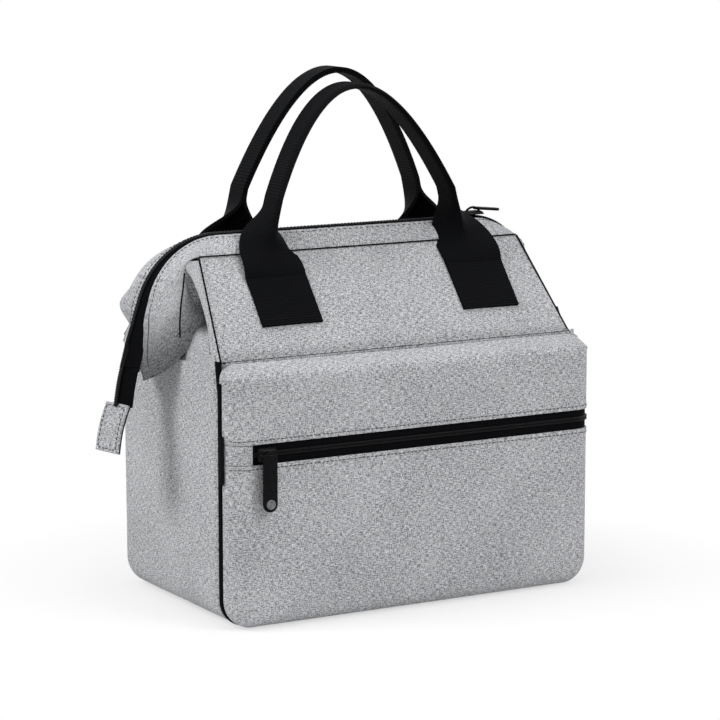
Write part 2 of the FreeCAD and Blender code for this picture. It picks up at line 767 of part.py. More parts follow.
def boolean(kind, label, base, tool):
    """A Cut or a Fuse of two objects."""
    result = doc.addObject(f"Part::{kind}", label)
    result.Base = base
    result.Tool = tool
    return result


lug_bore_diameter = size.pivot_diameter + size.pivot_clearance * 2
lug_bore = cross_cylinder("main_lug_bore", lug_bore_diameter, main_slider_place,
                          centre_plane - size.lug_width, centre_plane + size.lug_width, pivot_height)
main_slider = boolean("Fuse", "main_slider_blank", slider_plate, main_lug)
keep(boolean("Cut", "main_slider", main_slider, lug_bore), "main_slider")

pull_low = pivot_height - size.pull_thickness / 2
yoke_end = main_slider_place + size.pull_thickness / 2 - size.running_gap
half_pull = size.pull_width / 2
half_slot = half_lug + size.running_gap
main_pull_plate = block("main_pull_plate",
                        (yoke_end - size.pull_length, centre_plane - half_pull, pull_low),
                        (yoke_end, centre_plane + half_pull, pull_low + size.pull_thickness))
yoke_slot = block("main_pull_slot",
                  (main_slider_place - size.yoke_slot_length, centre_plane - half_slot, pull_low),
                  (yoke_end, centre_plane + half_slot, pull_low + size.pull_thickness))
main_pull_pin = cross_cylinder("main_pull_pin", size.pivot_diameter, main_slider_place,
                               centre_plane - half_pull, centre_plane + half_pull, pivot_height)
main_pull_yoke = boolean("Cut", "main_pull_yoke", main_pull_plate, yoke_slot)
keep(boolean("Fuse", "main_pull", main_pull_yoke, main_pull_pin), "main_pull")

# Pocket zip slider with a stud, and a pull that swings on the stud
slider_face = pocket_face + size.tape_thickness / 2 - size.teeth_rise - size.running_gap
slider_front = slider_face - size.slider_thickness
pocket_plate_outline = rounded_plate(pocket_slider_place, pocket_zip_height, size.slider_length,
                                     size.slider_width, size.slider_corner_radius)
pocket_plate = upright("pocket_slider_plate", pocket_plate_outline, slider_front, slider_face)
stud_front = slider_front - size.pull_thickness - size.running_gap * 2
stud = cross_cylinder("pocket_stud", size.stud_diameter, pocket_slider_place,
                      stud_front, slider_front, pocket_zip_height)
stud_head = cross_cylinder("pocket_stud_head", size.stud_head_diameter, pocket_slider_place,
                           stud_front - size.stud_head_height, stud_front, pocket_zip_height)
studded = boolean("Fuse", "pocket_slider_stud", pocket_plate, stud)
keep(boolean("Fuse", "pocket_slider", studded, stud_head), "pocket_slider")

pull_back = slider_front - size.running_gap
pull_top = pocket_zip_height + half_pull
pull_span = size.pull_length + half_pull
rivet_back = pull_back - size.pull_thickness
pull_outline = rounded_plate(pocket_slider_place, pull_top - pull_span / 2, size.pull_width, pull_span,
                             size.pull_corner_radius)
pocket_pull_plate = upright("pocket_pull_plate", pull_outline, rivet_back, pull_back)
pull_bore_diameter = size.stud_diameter + size.pivot_clearance * 2
pull_bore = cross_cylinder("pocket_pull_bore", pull_bore_diameter, pocket_slider_place,
                           rivet_back - size.pull_thickness, pull_back + size.pull_thickness,
                           pocket_zip_height)
keep(boolean("Cut", "pocket_pull", pocket_pull_plate, pull_bore), "pocket_pull")
keep(cross_cylinder("pull_rivet", size.rivet_diameter, pocket_slider_place,
                    rivet_back - size.rivet_height, rivet_back, pull_top - size.pull_length), "pull_rivet")

doc.recompute()
for item in doc.Objects:
    if "Invalid" in item.State or "Error" in item.State:
        raise RuntimeError(f"{item.Label} failed: {item.State}")
for piece in finished:
    if piece.Shape.isNull() or not piece.Shape.isValid():
        raise RuntimeError(f"{piece.Label} has no valid shape")
os.makedirs("parts", exist_ok=True)
for piece in finished:
    piece.Shape.exportStep(f"parts/{piece.Label}.step")
print(f"{len(finished)} sub-parts written")
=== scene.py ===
# %% [markdown]
# # Dressing a soft lunch bag
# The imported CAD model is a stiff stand-in for a sewn bag: a padded tub, a zip pocket, a mouth that opens on a
# wire frame and two webbing handles. This lesson dresses it piece by piece. Everything is in metres, and the
# CAD nodes stay where they are, so each new piece only has to follow the sizes given here.

# %% Load the frame
import math
import bpy
import numpy as np
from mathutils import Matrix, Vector


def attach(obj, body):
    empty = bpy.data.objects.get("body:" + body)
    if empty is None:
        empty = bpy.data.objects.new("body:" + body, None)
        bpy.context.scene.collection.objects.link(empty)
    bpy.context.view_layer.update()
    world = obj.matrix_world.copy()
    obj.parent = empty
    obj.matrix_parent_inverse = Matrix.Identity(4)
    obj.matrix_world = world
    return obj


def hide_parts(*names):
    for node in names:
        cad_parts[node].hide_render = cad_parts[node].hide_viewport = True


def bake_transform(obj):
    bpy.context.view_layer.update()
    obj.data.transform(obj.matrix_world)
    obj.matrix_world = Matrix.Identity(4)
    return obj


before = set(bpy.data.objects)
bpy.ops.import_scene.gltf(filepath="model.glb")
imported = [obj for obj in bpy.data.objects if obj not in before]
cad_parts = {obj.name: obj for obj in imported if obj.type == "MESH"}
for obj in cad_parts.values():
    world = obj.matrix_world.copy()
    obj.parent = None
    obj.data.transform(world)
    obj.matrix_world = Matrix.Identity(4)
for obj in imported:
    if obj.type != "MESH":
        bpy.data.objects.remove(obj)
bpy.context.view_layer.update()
bpy.ops.object.select_all(action="DESELECT")

# %% [markdown]
# ## Camera
# The bag is seen from its front left, a little above its middle, through a long lens that keeps the upright
# edges nearly parallel. A camera can be aimed by hand, but a target point and a distance are easier to check.

# %% Camera
camera_place = Vector((-0.8386, -1.4570, 0.4153))
camera_target = Vector((0.00146, 0.0, 0.13418))
bpy.ops.object.camera_add(location=camera_place)
camera = bpy.context.object
camera.name = "camera"
camera.rotation_euler = (camera_target - camera_place).to_track_quat("-Z", "Y").to_euler()
camera.data.lens = 145.07
camera.data.sensor_width = 36
bpy.context.scene.camera = camera
bpy.context.scene.view_settings.view_transform = "Standard"
print("camera is", round((camera_target - camera_place).length, 3), "m from the bag")

# %% [markdown]
# ## Floor and background
# Product pictures of bags are taken on a white sweep. Here it is one large floor. Close to the bag it is a
# plain white surface that takes the shadow, and further out it fades to an even white for the camera. The
# world is white where the camera looks past the floor, and gives a soft, weaker light to the bag.

# %% Floor and world
def wire(tree, source, target):
    """Join two sockets of a node tree."""
    tree.links.new(source, target)


def add_node(tree, kind, **values):
    """Add a node and set its plain sockets by name, with underscores for spaces."""
    node = tree.nodes.new(kind)
    for key, value in values.items():
        node.inputs[key.replace("_", " ")].default_value = value
    return node


def math_node(tree, operation, first, second):
    """A math node whose operands are sockets or numbers."""
    node = tree.nodes.new("ShaderNodeMath")
    node.operation = operation
    for socket, operand in zip(node.inputs, (first, second)):
        if isinstance(operand, bpy.types.NodeSocket):
            wire(tree, operand, socket)
        else:
            socket.default_value = operand
    return node.outputs["Value"]


def map_range(tree, value, low, high, start=0.0, end=1.0):
    """Stretch a value from one range to another, clamped."""
    node = add_node(tree, "ShaderNodeMapRange", From_Min=low, From_Max=high, To_Min=start, To_Max=end)
    wire(tree, value, node.inputs["Value"])
    return node.outputs["Result"]


floor_reach = 6.0
bpy.ops.mesh.primitive_plane_add(size=2 * floor_reach)
floor = bpy.context.object
floor.name = "floor"
floor_material = bpy.data.materials.new("white_floor")
floor_material.use_nodes = True
tree = floor_material.node_tree
floor_shader = tree.nodes["Principled BSDF"]
floor_shader.inputs["Base Color"].default_value = (0.9, 0.9, 0.9, 1)
floor_shader.inputs["Roughness"].default_value = 0.9
floor_shader.inputs["Specular IOR Level"].default_value = 0.1
glow = add_node(tree, "ShaderNodeEmission", Color=(1, 1, 1, 1), Strength=1.0)
place = tree.nodes.new("ShaderNodeTexCoord")
spread = tree.nodes.new("ShaderNodeVectorMath")
spread.operation = "LENGTH"
wire(tree, place.outputs["Object"], spread.inputs[0])
far = map_range(tree, spread.outputs["Value"], 0.11, 0.25, 0.6, 1.0)
light_path = tree.nodes.new("ShaderNodeLightPath")
seen = math_node(tree, "MAXIMUM", light_path.outputs["Is Camera Ray"], light_path.outputs["Is Glossy Ray"])
seen = math_node(tree, "MAXIMUM", seen, light_path.outputs["Is Transmission Ray"])
fade = tree.nodes.new("ShaderNodeMixShader")
wire(tree, math_node(tree, "MULTIPLY", far, seen), fade.inputs["Fac"])
wire(tree, floor_shader.outputs["BSDF"], fade.inputs[1])
wire(tree, glow.outputs["Emission"], fade.inputs[2])
wire(tree, fade.outputs["Shader"], tree.nodes["Material Output"].inputs["Surface"])
floor.data.materials.append(floor_material)

world = bpy.data.worlds.new("studio")
bpy.context.scene.world = world
world.use_nodes = True
tree = world.node_tree
light_path = tree.nodes.new("ShaderNodeLightPath")
seen = math_node(tree, "MAXIMUM", light_path.outputs["Is Camera Ray"], light_path.outputs["Is Glossy Ray"])
seen = math_node(tree, "MAXIMUM", seen, light_path.outputs["Is Transmission Ray"])
wire(tree, map_range(tree, seen, 0, 1, 0.20, 1.0), tree.nodes["Background"].inputs["Strength"])
tree.nodes["Background"].inputs["Color"].default_value = (1, 1, 1, 1)
print("floor and world made")

# %% [markdown]
# ## Lights
# Three large soft lamps: a key from the front right and above, which leaves the gentle shade on the left of
# the handles, a wide fill from behind on the left for the side of the bag, and a top light for the flat
# shelf above the pocket. They are kept low enough that the grey cloth renders as the grey that its material
# gives.

# %% Lights
def soft_lamp(name, place, size, power):
    """A square lamp aimed at the middle of the bag."""
    bpy.ops.object.light_add(type="AREA", location=place)
    lamp = bpy.context.object
    lamp.name = name
    lamp.data.size = size
    lamp.data.energy = power
    lamp.rotation_euler = (camera_target - Vector(place)).to_track_quat("-Z", "Y").to_euler()
    return lamp


lamps = [
    soft_lamp("key_lamp", (0.75, -1.35, 1.35), 0.9, 17.5),
    soft_lamp("fill_lamp", (-1.5, 0.3, 1.5), 0.8, 24.0),
    soft_lamp("top_lamp", (-0.1, -0.2, 1.9), 1.2, 11.0),
]
print("lamps:", [lamp.name for lamp in lamps])

# %% [markdown]
# ## Finishes
# The grey cloth is a heathered weave: light and dark fibres are spun into one yarn, so the surface is covered
# in short dashes along both thread directions. A picture of cloth could be used, but noise stretched along
# the threads gives the same dashes at any size. The threads follow each panel's UV map, which is in metres.

# %% Woven cloth group
def shader_group(name, inputs, outputs):
    """An empty shader node group with named inputs and outputs."""
    group = bpy.data.node_groups.new(name, "ShaderNodeTree")
    for label, kind, default in inputs:
        socket = group.interface.new_socket(name=label, in_out="INPUT", socket_type=kind)
        if default is not None:
            socket.default_value = default
    for label in outputs:
        group.interface.new_socket(name=label, in_out="OUTPUT", socket_type="NodeSocketFloat")
    return group, group.nodes.new("NodeGroupInput"), group.nodes.new("NodeGroupOutput")


def stretched_noise(tree, vector, scale, detail=2.0):
    """Noise with its own scale along each axis of the pattern."""
    mapping = add_node(tree, "ShaderNodeMapping", Scale=scale)
    noise = add_node(tree, "ShaderNodeTexNoise", Scale=1.0, Detail=detail, Roughness=0.6)
    wire(tree, vector, mapping.inputs["Vector"])
    wire(tree, mapping.outputs["Vector"], noise.inputs["Vector"])
    return noise.outputs["Fac"]


weave, weave_in, weave_out = shader_group(
    "heather_weave",
    [("Vector", "NodeSocketVector", None), ("Contrast", "NodeSocketFloat", 1.0)],
    ["Shade", "Height"],
)
threads = weave_in.outputs["Vector"]
weft = stretched_noise(weave, threads, (370, 2800, 1), 3.0)
warp = stretched_noise(weave, threads, (2800, 370, 1), 3.0)
fibre = stretched_noise(weave, threads, (1500, 1500, 1), 4.0)
blotch = stretched_noise(weave, threads, (22, 22, 1), 2.0)
mixed = math_node(weave, "MULTIPLY", weft, 0.38)
mixed = math_node(weave, "ADD", mixed, math_node(weave, "MULTIPLY", warp, 0.28))
mixed = math_node(weave, "ADD", mixed, math_node(weave, "MULTIPLY", fibre, 0.30))
mixed = math_node(weave, "ADD", mixed, math_node(weave, "MULTIPLY", blotch, 0.04))
centred = math_node(weave, "SUBTRACT", mixed, 0.5)
strong = math_node(weave, "MULTIPLY", centred, weave_in.outputs["Contrast"])
wire(weave, map_range(weave, strong, -0.14, 0.14), weave_out.inputs["Shade"])
wire(weave, math_node(weave, "MAXIMUM", weft, warp), weave_out.inputs["Height"])
print("group", weave.name, "has", len(weave.nodes), "nodes")

# %% [markdown]
# Each finish is a Principled shader fed by such patterns. The cloth's two greys sit either side of the
# average tone, and the pattern's height drives a very shallow bump, because a weave this fine is felt more
# than seen. An attribute named crease, written on folded pieces, scales the cloth's colour down where it
# turns in: painted shade for the shadow in the folds.

# %% Grey cloth
def finish(name, colour, roughness, **constants):
    """A new material with its plain values on the shader's own sockets."""
    material = bpy.data.materials.new(name)
    material.use_nodes = True
    bsdf = material.node_tree.nodes["Principled BSDF"]
    bsdf.inputs["Base Color"].default_value = (*colour, 1)
    bsdf.inputs["Roughness"].default_value = roughness
    for key, value in constants.items():
        bsdf.inputs[key.replace("_", " ")].default_value = value
    return material, material.node_tree, bsdf


def colour_ramp(tree, value, stops):
    """A ramp from (position, grey or colour) stops."""
    ramp = tree.nodes.new("ShaderNodeValToRGB")
    while len(ramp.color_ramp.elements) < len(stops):
        ramp.color_ramp.elements.new(0.5)
    for element, (position, colour) in zip(ramp.color_ramp.elements, stops):
        element.position = position
        element.color = (*colour, 1)
    wire(tree, value, ramp.inputs["Fac"])
    return ramp.outputs["Color"]


def add_bump(tree, bsdf, height, strength, distance):
    """Shallow relief from a height pattern."""
    bump = add_node(tree, "ShaderNodeBump", Strength=strength, Distance=distance)
    wire(tree, height, bump.inputs["Height"])
    wire(tree, bump.outputs["Normal"], bsdf.inputs["Normal"])


def uv_threads(tree):
    """The piece's own UV map, in metres along the threads."""
    return tree.nodes.new("ShaderNodeUVMap").outputs["UV"]


def weave_node(tree, contrast):
    """The shared weave, placed in one material."""
    node = tree.nodes.new("ShaderNodeGroup")
    node.node_tree = weave
    node.inputs["Contrast"].default_value = contrast
    wire(tree, uv_threads(tree), node.inputs["Vector"])
    return node


grey_cloth, tree, bsdf = finish("grey_heather_cloth", (0.43, 0.435, 0.45), 0.85,
                                Specular_IOR_Level=0.25, Sheen_Weight=0.12, Sheen_Roughness=0.5)
cloth_weave = weave_node(tree, 3.0)
cloth_greys = [(0.0, (0.130, 0.132, 0.140)), (0.35, (0.330, 0.335, 0.350)),
               (0.65, (0.505, 0.511, 0.530)), (1.0, (0.690, 0.697, 0.715))]
# Painted shade: the crease attribute scales the woven colour down to 0.28 of itself, for the shadow in the folds.
crease_shade_attribute = tree.nodes.new("ShaderNodeAttribute")
crease_shade_attribute.attribute_name = "crease"
painted_crease_shade = tree.nodes.new("ShaderNodeVectorMath")
painted_crease_shade.operation = "SCALE"
wire(tree, colour_ramp(tree, cloth_weave.outputs["Shade"], cloth_greys), painted_crease_shade.inputs[0])
wire(tree, map_range(tree, crease_shade_attribute.outputs["Fac"], 0, 1, 1.0, 0.28), painted_crease_shade.inputs["Scale"])
wire(tree, painted_crease_shade.outputs["Vector"], bsdf.inputs["Base Color"])
wire(tree, map_range(tree, cloth_weave.outputs["Shade"], 0, 1, 0.92, 0.8), bsdf.inputs["Roughness"])
add_bump(tree, bsdf, cloth_weave.outputs["Height"], 0.25, 0.0004)
print("made", grey_cloth.name)

# %% [markdown]
# The black trims share one more pattern: fine ribs across a strip. Webbing shows them as ridges about a
# millimetre apart, zip tape as a much finer rib. The strip's UV map runs along its length, so the ribs always
# cross it, round bends as well.

# %% Black webbing, tape, thread and piping
rib, rib_in, rib_out = shader_group(
    "cross_ribs",
    [("Vector", "NodeSocketVector", None), ("Ribs per metre", "NodeSocketFloat", 900.0)],
    ["Height", "Shade"],
)
parts = rib.nodes.new("ShaderNodeSeparateXYZ")
wire(rib, rib_in.outputs["Vector"], parts.inputs["Vector"])
turns = math_node(rib, "MULTIPLY", parts.outputs["Y"], rib_in.outputs["Ribs per metre"])
swing = math_node(rib, "SINE", math_node(rib, "MULTIPLY", turns, 2 * math.pi), 0.0)
fuzz = stretched_noise(rib, rib_in.outputs["Vector"], (500, 2200, 1), 3.0)
height = math_node(rib, "ADD", math_node(rib, "MULTIPLY", swing, 0.35), fuzz)
wire(rib, height, rib_out.inputs["Height"])
wire(rib, map_range(rib, height, 0.1, 0.95), rib_out.inputs["Shade"])


def ribbed(name, dark, light, ribs, roughness, depth):
    """A black woven strip with ribs across it."""
    material, tree, bsdf = finish(name, dark, roughness, Specular_IOR_Level=0.03)
    node = tree.nodes.new("ShaderNodeGroup")
    node.node_tree = rib
    node.inputs["Ribs per metre"].default_value = ribs
    wire(tree, uv_threads(tree), node.inputs["Vector"])
    wire(tree, colour_ramp(tree, node.outputs["Shade"], [(0, dark), (1, light)]), bsdf.inputs["Base Color"])
    wire(tree, map_range(tree, node.outputs["Shade"], 0, 1, roughness + 0.1, roughness), bsdf.inputs["Roughness"])
    add_bump(tree, bsdf, node.outputs["Height"], 0.5, depth)
    return material


webbing = ribbed("black_webbing", (0.0014, 0.0015, 0.0019), (0.0050, 0.0053, 0.0064), 820.0, 0.6, 0.0005)
zip_tape = ribbed("black_zip_tape", (0.0015, 0.0016, 0.0019), (0.0045, 0.0047, 0.0056), 1500.0, 0.7, 0.0002)
# The piping finish also colours the seam cords of the mouth, which are painted shade.
piping = ribbed("black_piping", (0.0020, 0.0021, 0.0025), (0.0070, 0.0072, 0.0080), 1300.0, 0.65, 0.0002)
thread = ribbed("grey_thread", (0.060, 0.061, 0.065), (0.13, 0.132, 0.14), 2500.0, 0.7, 0.0001)
black_thread = ribbed("black_thread", (0.006, 0.0062, 0.007), (0.02, 0.0205, 0.022), 2500.0, 0.6, 0.0001)
lining = ribbed("black_lining", (0.006, 0.0062, 0.0066), (0.018, 0.0185, 0.02), 1800.0, 0.6, 0.0002)
print("made the black trims")

# %% [markdown]
# Hard and inner finishes: the zip's coil is glossy moulded nylon, the sliders are lacquered metal with a
# little wear, the frame is sprung steel, and inside are a crinkled silver foil liner, pale foam and a board.
# None of these has threads, so their patterns use Object coordinates.

# %% Coil, metal, foil, foam and board
def object_noise(tree, scale, detail=3.0):
    """Even noise through the piece's own space."""
    place = tree.nodes.new("ShaderNodeTexCoord")
    return stretched_noise(tree, place.outputs["Object"], (scale, scale, scale), detail)


def mottled(name, dark, light, scale, rough_low, rough_high, bump, **constants):
    """A finish whose tone, gloss and relief vary with one noise."""
    material, tree, bsdf = finish(name, dark, rough_low, **constants)
    cloud = object_noise(tree, scale)
    wire(tree, colour_ramp(tree, cloud, [(0.3, dark), (0.7, light)]), bsdf.inputs["Base Color"])
    wire(tree, map_range(tree, cloud, 0.3, 0.7, rough_low, rough_high), bsdf.inputs["Roughness"])
    add_bump(tree, bsdf, cloud, 0.3, bump)
    return material


zip_coil = mottled("black_nylon_coil", (0.003, 0.003, 0.0035), (0.009, 0.009, 0.010), 900, 0.3, 0.42, 0.00005,
                   Specular_IOR_Level=0.12)
black_metal = mottled("black_lacquered_metal", (0.0022, 0.0022, 0.0027), (0.0050, 0.0050, 0.0058), 320, 0.24, 0.36,
                      0.00004, Specular_IOR_Level=0.07)
worn_metal = mottled("worn_black_metal", (0.08, 0.08, 0.085), (0.22, 0.22, 0.225), 500, 0.3, 0.45, 0.00005,
                     Metallic=0.3)
steel = mottled("sprung_steel", (0.42, 0.42, 0.43), (0.56, 0.56, 0.57), 400, 0.25, 0.4, 0.00003, Metallic=1.0)
foil = mottled("silver_foil", (0.60, 0.61, 0.62), (0.74, 0.75, 0.76), 90, 0.28, 0.42, 0.0006, Metallic=0.75)
foam = mottled("pale_foam", (0.62, 0.62, 0.60), (0.74, 0.74, 0.72), 700, 0.9, 0.98, 0.0006)
board = mottled("grey_board", (0.20, 0.20, 0.19), (0.28, 0.28, 0.27), 260, 0.75, 0.9, 0.0001)
print("made the hard and inner finishes")

# %% [markdown]
# ## A helper for sewn panels
# Every panel of the bag is a piece of cloth cut flat and sewn into a curved shape. So each one starts as a
# flat grid, and a small function says where a point of the flat cut ends up on the bag, in millimetres. The
# same function's flat sizes become the UV map, so the threads run as they do on the cut cloth. Solidify then
# gives the cloth its thickness. A cloth simulation could settle the panels too, but the creases of this bag
# sit at known seams and folds, and moving the points there directly keeps the pieces meeting at the seams.

# %% Sewn panel helper
mm = 0.001
bag_middle = np.array((0.0, 8.0, 90.0))


def flat_grid(name, columns, rows):
    """A grid primitive, with the place of its points across and along it, each from 0 to 1."""
    bpy.ops.object.select_all(action="DESELECT")
    bpy.ops.mesh.primitive_grid_add(x_subdivisions=columns, y_subdivisions=rows, size=1)
    piece = bpy.context.object
    piece.name = name
    piece.data.name = name
    spots = np.empty(len(piece.data.vertices) * 3)
    piece.data.vertices.foreach_get("co", spots)
    spots = spots.reshape(-1, 3) + 0.5
    return piece, spots[:, 0], spots[:, 1]


def lay_threads(piece, flat):
    """Write the flat cut's sizes, in millimetres, to the UV map in metres."""
    corners = np.empty(len(piece.data.loops), dtype=int)
    piece.data.loops.foreach_get("vertex_index", corners)
    piece.data.uv_layers.active.data.foreach_set("uv", (flat * mm)[corners].ravel())


def face_outward(piece, inside):
    """Flip the panel if most of it faces the inside point."""
    count = len(piece.data.polygons)
    centres = np.empty(count * 3)
    normals = np.empty(count * 3)
    piece.data.polygons.foreach_get("center", centres)
    piece.data.polygons.foreach_get("normal", normals)
    away = centres.reshape(-1, 3) - np.asarray(inside) * mm
    if np.sum(normals.reshape(-1, 3) * away) < 0:
        bpy.ops.object.mode_set(mode="EDIT")
        bpy.ops.mesh.select_all(action="SELECT")
        bpy.ops.mesh.flip_normals()
        bpy.ops.object.mode_set(mode="OBJECT")


def weld(piece):
    """Close the seam of a grid that has been rolled up, and turn its faces outward."""
    bpy.ops.object.mode_set(mode="EDIT")
    bpy.ops.mesh.select_all(action="SELECT")
    bpy.ops.mesh.remove_doubles(threshold=0.00001)
    bpy.ops.mesh.normals_make_consistent(inside=False)
    bpy.ops.object.mode_set(mode="OBJECT")


def apply_modifier(piece, kind, **settings):
    """Add a modifier, set it and apply it."""
    modifier = piece.modifiers.new(kind.title(), kind)
    for key, value in settings.items():
        setattr(modifier, key, value)
    bpy.ops.object.modifier_apply(modifier=modifier.name)


cut_sizes, cut_areas = {}, {}


def cut_size(shape, lines=41, steps=160):
    """Median, longest and mean run across a panel, then along it, in metres, measured over its surface."""
    share = np.linspace(0, 1, steps)
    sizes = []
    for turned in (False, True):
        runs = []
        for place in np.linspace(0, 1, lines):
            held = np.full(steps, place)
            points = np.column_stack(shape(held, share) if turned else shape(share, held))
            runs.append(np.linalg.norm(np.diff(points, axis=0), axis=1).sum() * mm)
        sizes.append((float(np.median(runs)), float(max(runs)), float(np.mean(runs))))
    return sizes


def sewn(name, columns, rows, shape, flat, thickness, material, inside=bag_middle):
    """A panel of cloth: shape and flat take arrays across and along the cut, from 0 to 1."""
    piece, across, along = flat_grid(name, columns, rows)
    piece.data.vertices.foreach_set("co", (np.column_stack(shape(across, along)) * mm).ravel())
    piece.data.update()
    cut_sizes[piece.name] = cut_size(shape)
    cut_areas[piece.name] = sum(face.area for face in piece.data.polygons)
    lay_threads(piece, np.column_stack(flat(across, along)))
    face_outward(piece, inside)
    if thickness:
        apply_modifier(piece, "SOLIDIFY", thickness=thickness * mm, offset=-1)
    else:
        weld(piece)
    piece.data.materials.append(material)
    bpy.ops.object.shade_smooth_by_angle(angle=math.radians(50))
    return piece


def dress(piece, body, slot, *nodes):
    """Let a piece ride on a body and hide the CAD nodes that it stands for; slot is not used."""
    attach(piece, body)
    if nodes:
        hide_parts(*nodes)
    return piece


def ripples(first, second, wavelength, seed):
    """Soft waves in all directions, about -1 to 1, the same on every run."""
    chance = np.random.default_rng(seed)
    total = np.zeros_like(first)
    for _ in range(6):
        heading = chance.uniform(0, math.pi)
        length = wavelength * chance.uniform(0.7, 1.5)
        phase = chance.uniform(0, 2 * math.pi)
        run = first * math.cos(heading) + second * math.sin(heading)
        total += np.sin(2 * math.pi * run / length + phase)
    return total / 3.5


def roll(edge_distance, radius):
    """How far a surface has turned away from its flat by a rounded edge."""
    near = np.clip(radius - edge_distance, 0, radius)
    return radius - np.sqrt(np.maximum(radius**2 - near**2, 0))


def ease(value, low, high):
    """Smooth step from 0 at low to 1 at high."""
    share = np.clip((value - low) / (high - low), 0, 1)
    return share * share * (3 - 2 * share)


print("sewn panel helper ready")

# %% [markdown]
# ## Tub sides and base
# One long strip of cloth runs down the left side, under the base and up the right side. It is sewn to the
# front and back at its two long edges, where it rolls in, and its sides swell a little with the foam behind.

# %% Side strip
half_width, tub_front, tub_back = 120.0, -54.0, 70.0
strip_top, base_radius = 146.0, 17.0
side_leg = strip_top - base_radius
side_arc = base_radius * math.pi / 2
base_flat = 2 * (half_width - base_radius)
strip_length = 2 * side_leg + 2 * side_arc + base_flat


def tub_outline(run):
    """Point and outward direction on the tub's outline, a run down the left, under and up the right."""
    down = np.clip(run, 0, side_leg)
    first = np.clip((run - side_leg) / base_radius, 0, math.pi / 2)
    floor_run = np.clip(run - side_leg - side_arc, 0, base_flat)
    second = np.clip((run - side_leg - side_arc - base_flat) / base_radius, 0, math.pi / 2)
    up = np.clip(run - side_leg - 2 * side_arc - base_flat, 0, side_leg)
    x = -half_width + base_radius * (1 - np.cos(first)) + floor_run + base_radius * np.sin(second)
    z = strip_top - down - base_radius * np.sin(first) + base_radius * (1 - np.cos(second)) + up
    turn = first + second
    return x, z, -np.cos(turn), -np.sin(turn)


def side_swell(y, z, hand):
    """How far the cloth of a side stands out from the tub's flat side."""
    middle = np.clip((y - tub_front) / (tub_back - tub_front), 0, 1)
    crown = 2.4 * np.sin(math.pi * middle) ** 0.8 * np.sin(math.pi * np.clip(z / 175, 0, 1))
    creases = 0.45 * ripples(y, z * 0.6, 45, 3 + hand) * np.sin(math.pi * middle)
    return crown + creases - roll(y - tub_front, 3.0) - roll(tub_back - y, 6.0)


def side_strip_shape(inset):
    """The strip at a depth below its outer face."""
    def shape(across, along):
        x, z, out_x, out_z = tub_outline(across * strip_length)
        y = tub_front + inset + (tub_back - tub_front - 2 * inset) * along
        upright = out_x**2
        hem = roll(y - tub_front, 3) + roll(tub_back - y, 6)
        stand = upright * side_swell(y, z, 1) - (1 - upright) * hem
        return x + out_x * (stand - inset), y, np.maximum(z + out_z * (stand - inset), 0.05)
    return shape


strip_depth = tub_back - tub_front
side_strip = sewn("side_strip", 150, 40, side_strip_shape(0),
                  lambda across, along: (along * strip_depth, across * strip_length), 1.4, grey_cloth)
dress(side_strip, "tub", "grey_cloth", "left_side_panel", "right_side_panel", "base_panel")
strip_foam = sewn("side_strip_foam", 100, 16, side_strip_shape(1.8),
                  lambda across, along: (along * strip_depth, across * strip_length), 3.4, foam)
dress(strip_foam, "tub", "foam", "left_foam", "right_foam", "base_foam")
print("side strip is", round(strip_length), "by", round(strip_depth), "mm")

# %% [markdown]
# ## Front and back of the tub
# Both are flat cuts with two rounded lower corners. The back shows its whole face, crowned by the foam and
# rolling into the seam all round. The front lies behind the pocket and only shows at its edges.

# %% Front and back panels
tub_top = 150.0


def outline_reach(z, radius=base_radius):
    """Half width of the tub at a height, narrowing round the lower corners."""
    low = np.clip(radius - z, 0, radius)
    return half_width - (radius - np.sqrt(radius**2 - low**2))


def end_panel_shape(y_face, direction, inset, crown):
    """A front or back panel at a depth below its outer face."""
    def shape(across, along):
        z = 0.4 + inset + (tub_top - 0.4 - inset) * along
        reach = outline_reach(z) - inset
        x = (2 * across - 1) * reach
        edge = np.minimum(reach - np.abs(x), z * 1.2)
        bulge = crown * np.cos(0.5 * math.pi * x / half_width) * np.sin(math.pi * np.clip(z / 190, 0, 1))
        bulge = bulge + 0.35 * ripples(x, z, 60, 11) * np.clip(edge / 20, 0, 1)
        return x, y_face + direction * (bulge - roll(edge, 6.0) - inset), z
    return shape


def panel_flat(width, height):
    """Flat sizes of a rectangular cut."""
    return lambda across, along: (across * width, along * height)


back_panel = sewn("back_panel", 90, 60, end_panel_shape(tub_back, 1, 0, 3.0), panel_flat(240, 150), 1.4,
                  grey_cloth)
dress(back_panel, "tub", "grey_cloth", "back_panel")
front_panel = sewn("front_panel", 40, 30, end_panel_shape(tub_front, -1, 0, 0.0), panel_flat(240, 150),
                   1.4, grey_cloth)
dress(front_panel, "tub", "grey_cloth", "front_panel")
back_foam = sewn("back_foam", 40, 30, end_panel_shape(tub_back, 1, 1.8, 2.0), panel_flat(240, 150), 3.4, foam)
dress(back_foam, "tub", "foam", "back_foam")
front_foam = sewn("front_foam", 40, 30, end_panel_shape(tub_front, -1, 1.8, 0.0), panel_flat(240, 150),
                  3.4, foam)
dress(front_foam, "tub", "foam", "front_foam")
print("front and back panels made")

# %% [markdown]
# ## Liner
# A silver foil tub is sewn in at the rim. It is made of the same three cuts, a long strip and two ends,
# drawn in by the cloth and foam, and joined to one piece. Foil creases more than cloth, so its ripples are
# stronger.

# %% Foil liner
liner_inset = 5.7


def liner_strip_shape(across, along):
    x, z, out_x, out_z = tub_outline(across * strip_length)
    y = tub_front + liner_inset + (tub_back - tub_front - 2 * liner_inset) * along
    crease = 0.5 * ripples(y, across * strip_length, 26, 21) - 0.5
    depth = liner_inset - np.minimum(crease, 0)
    stretch = np.where(z > strip_top - 1, tub_top - strip_top, 0)
    return x - out_x * depth, y, np.clip(z - out_z * depth + stretch, liner_inset, tub_top)


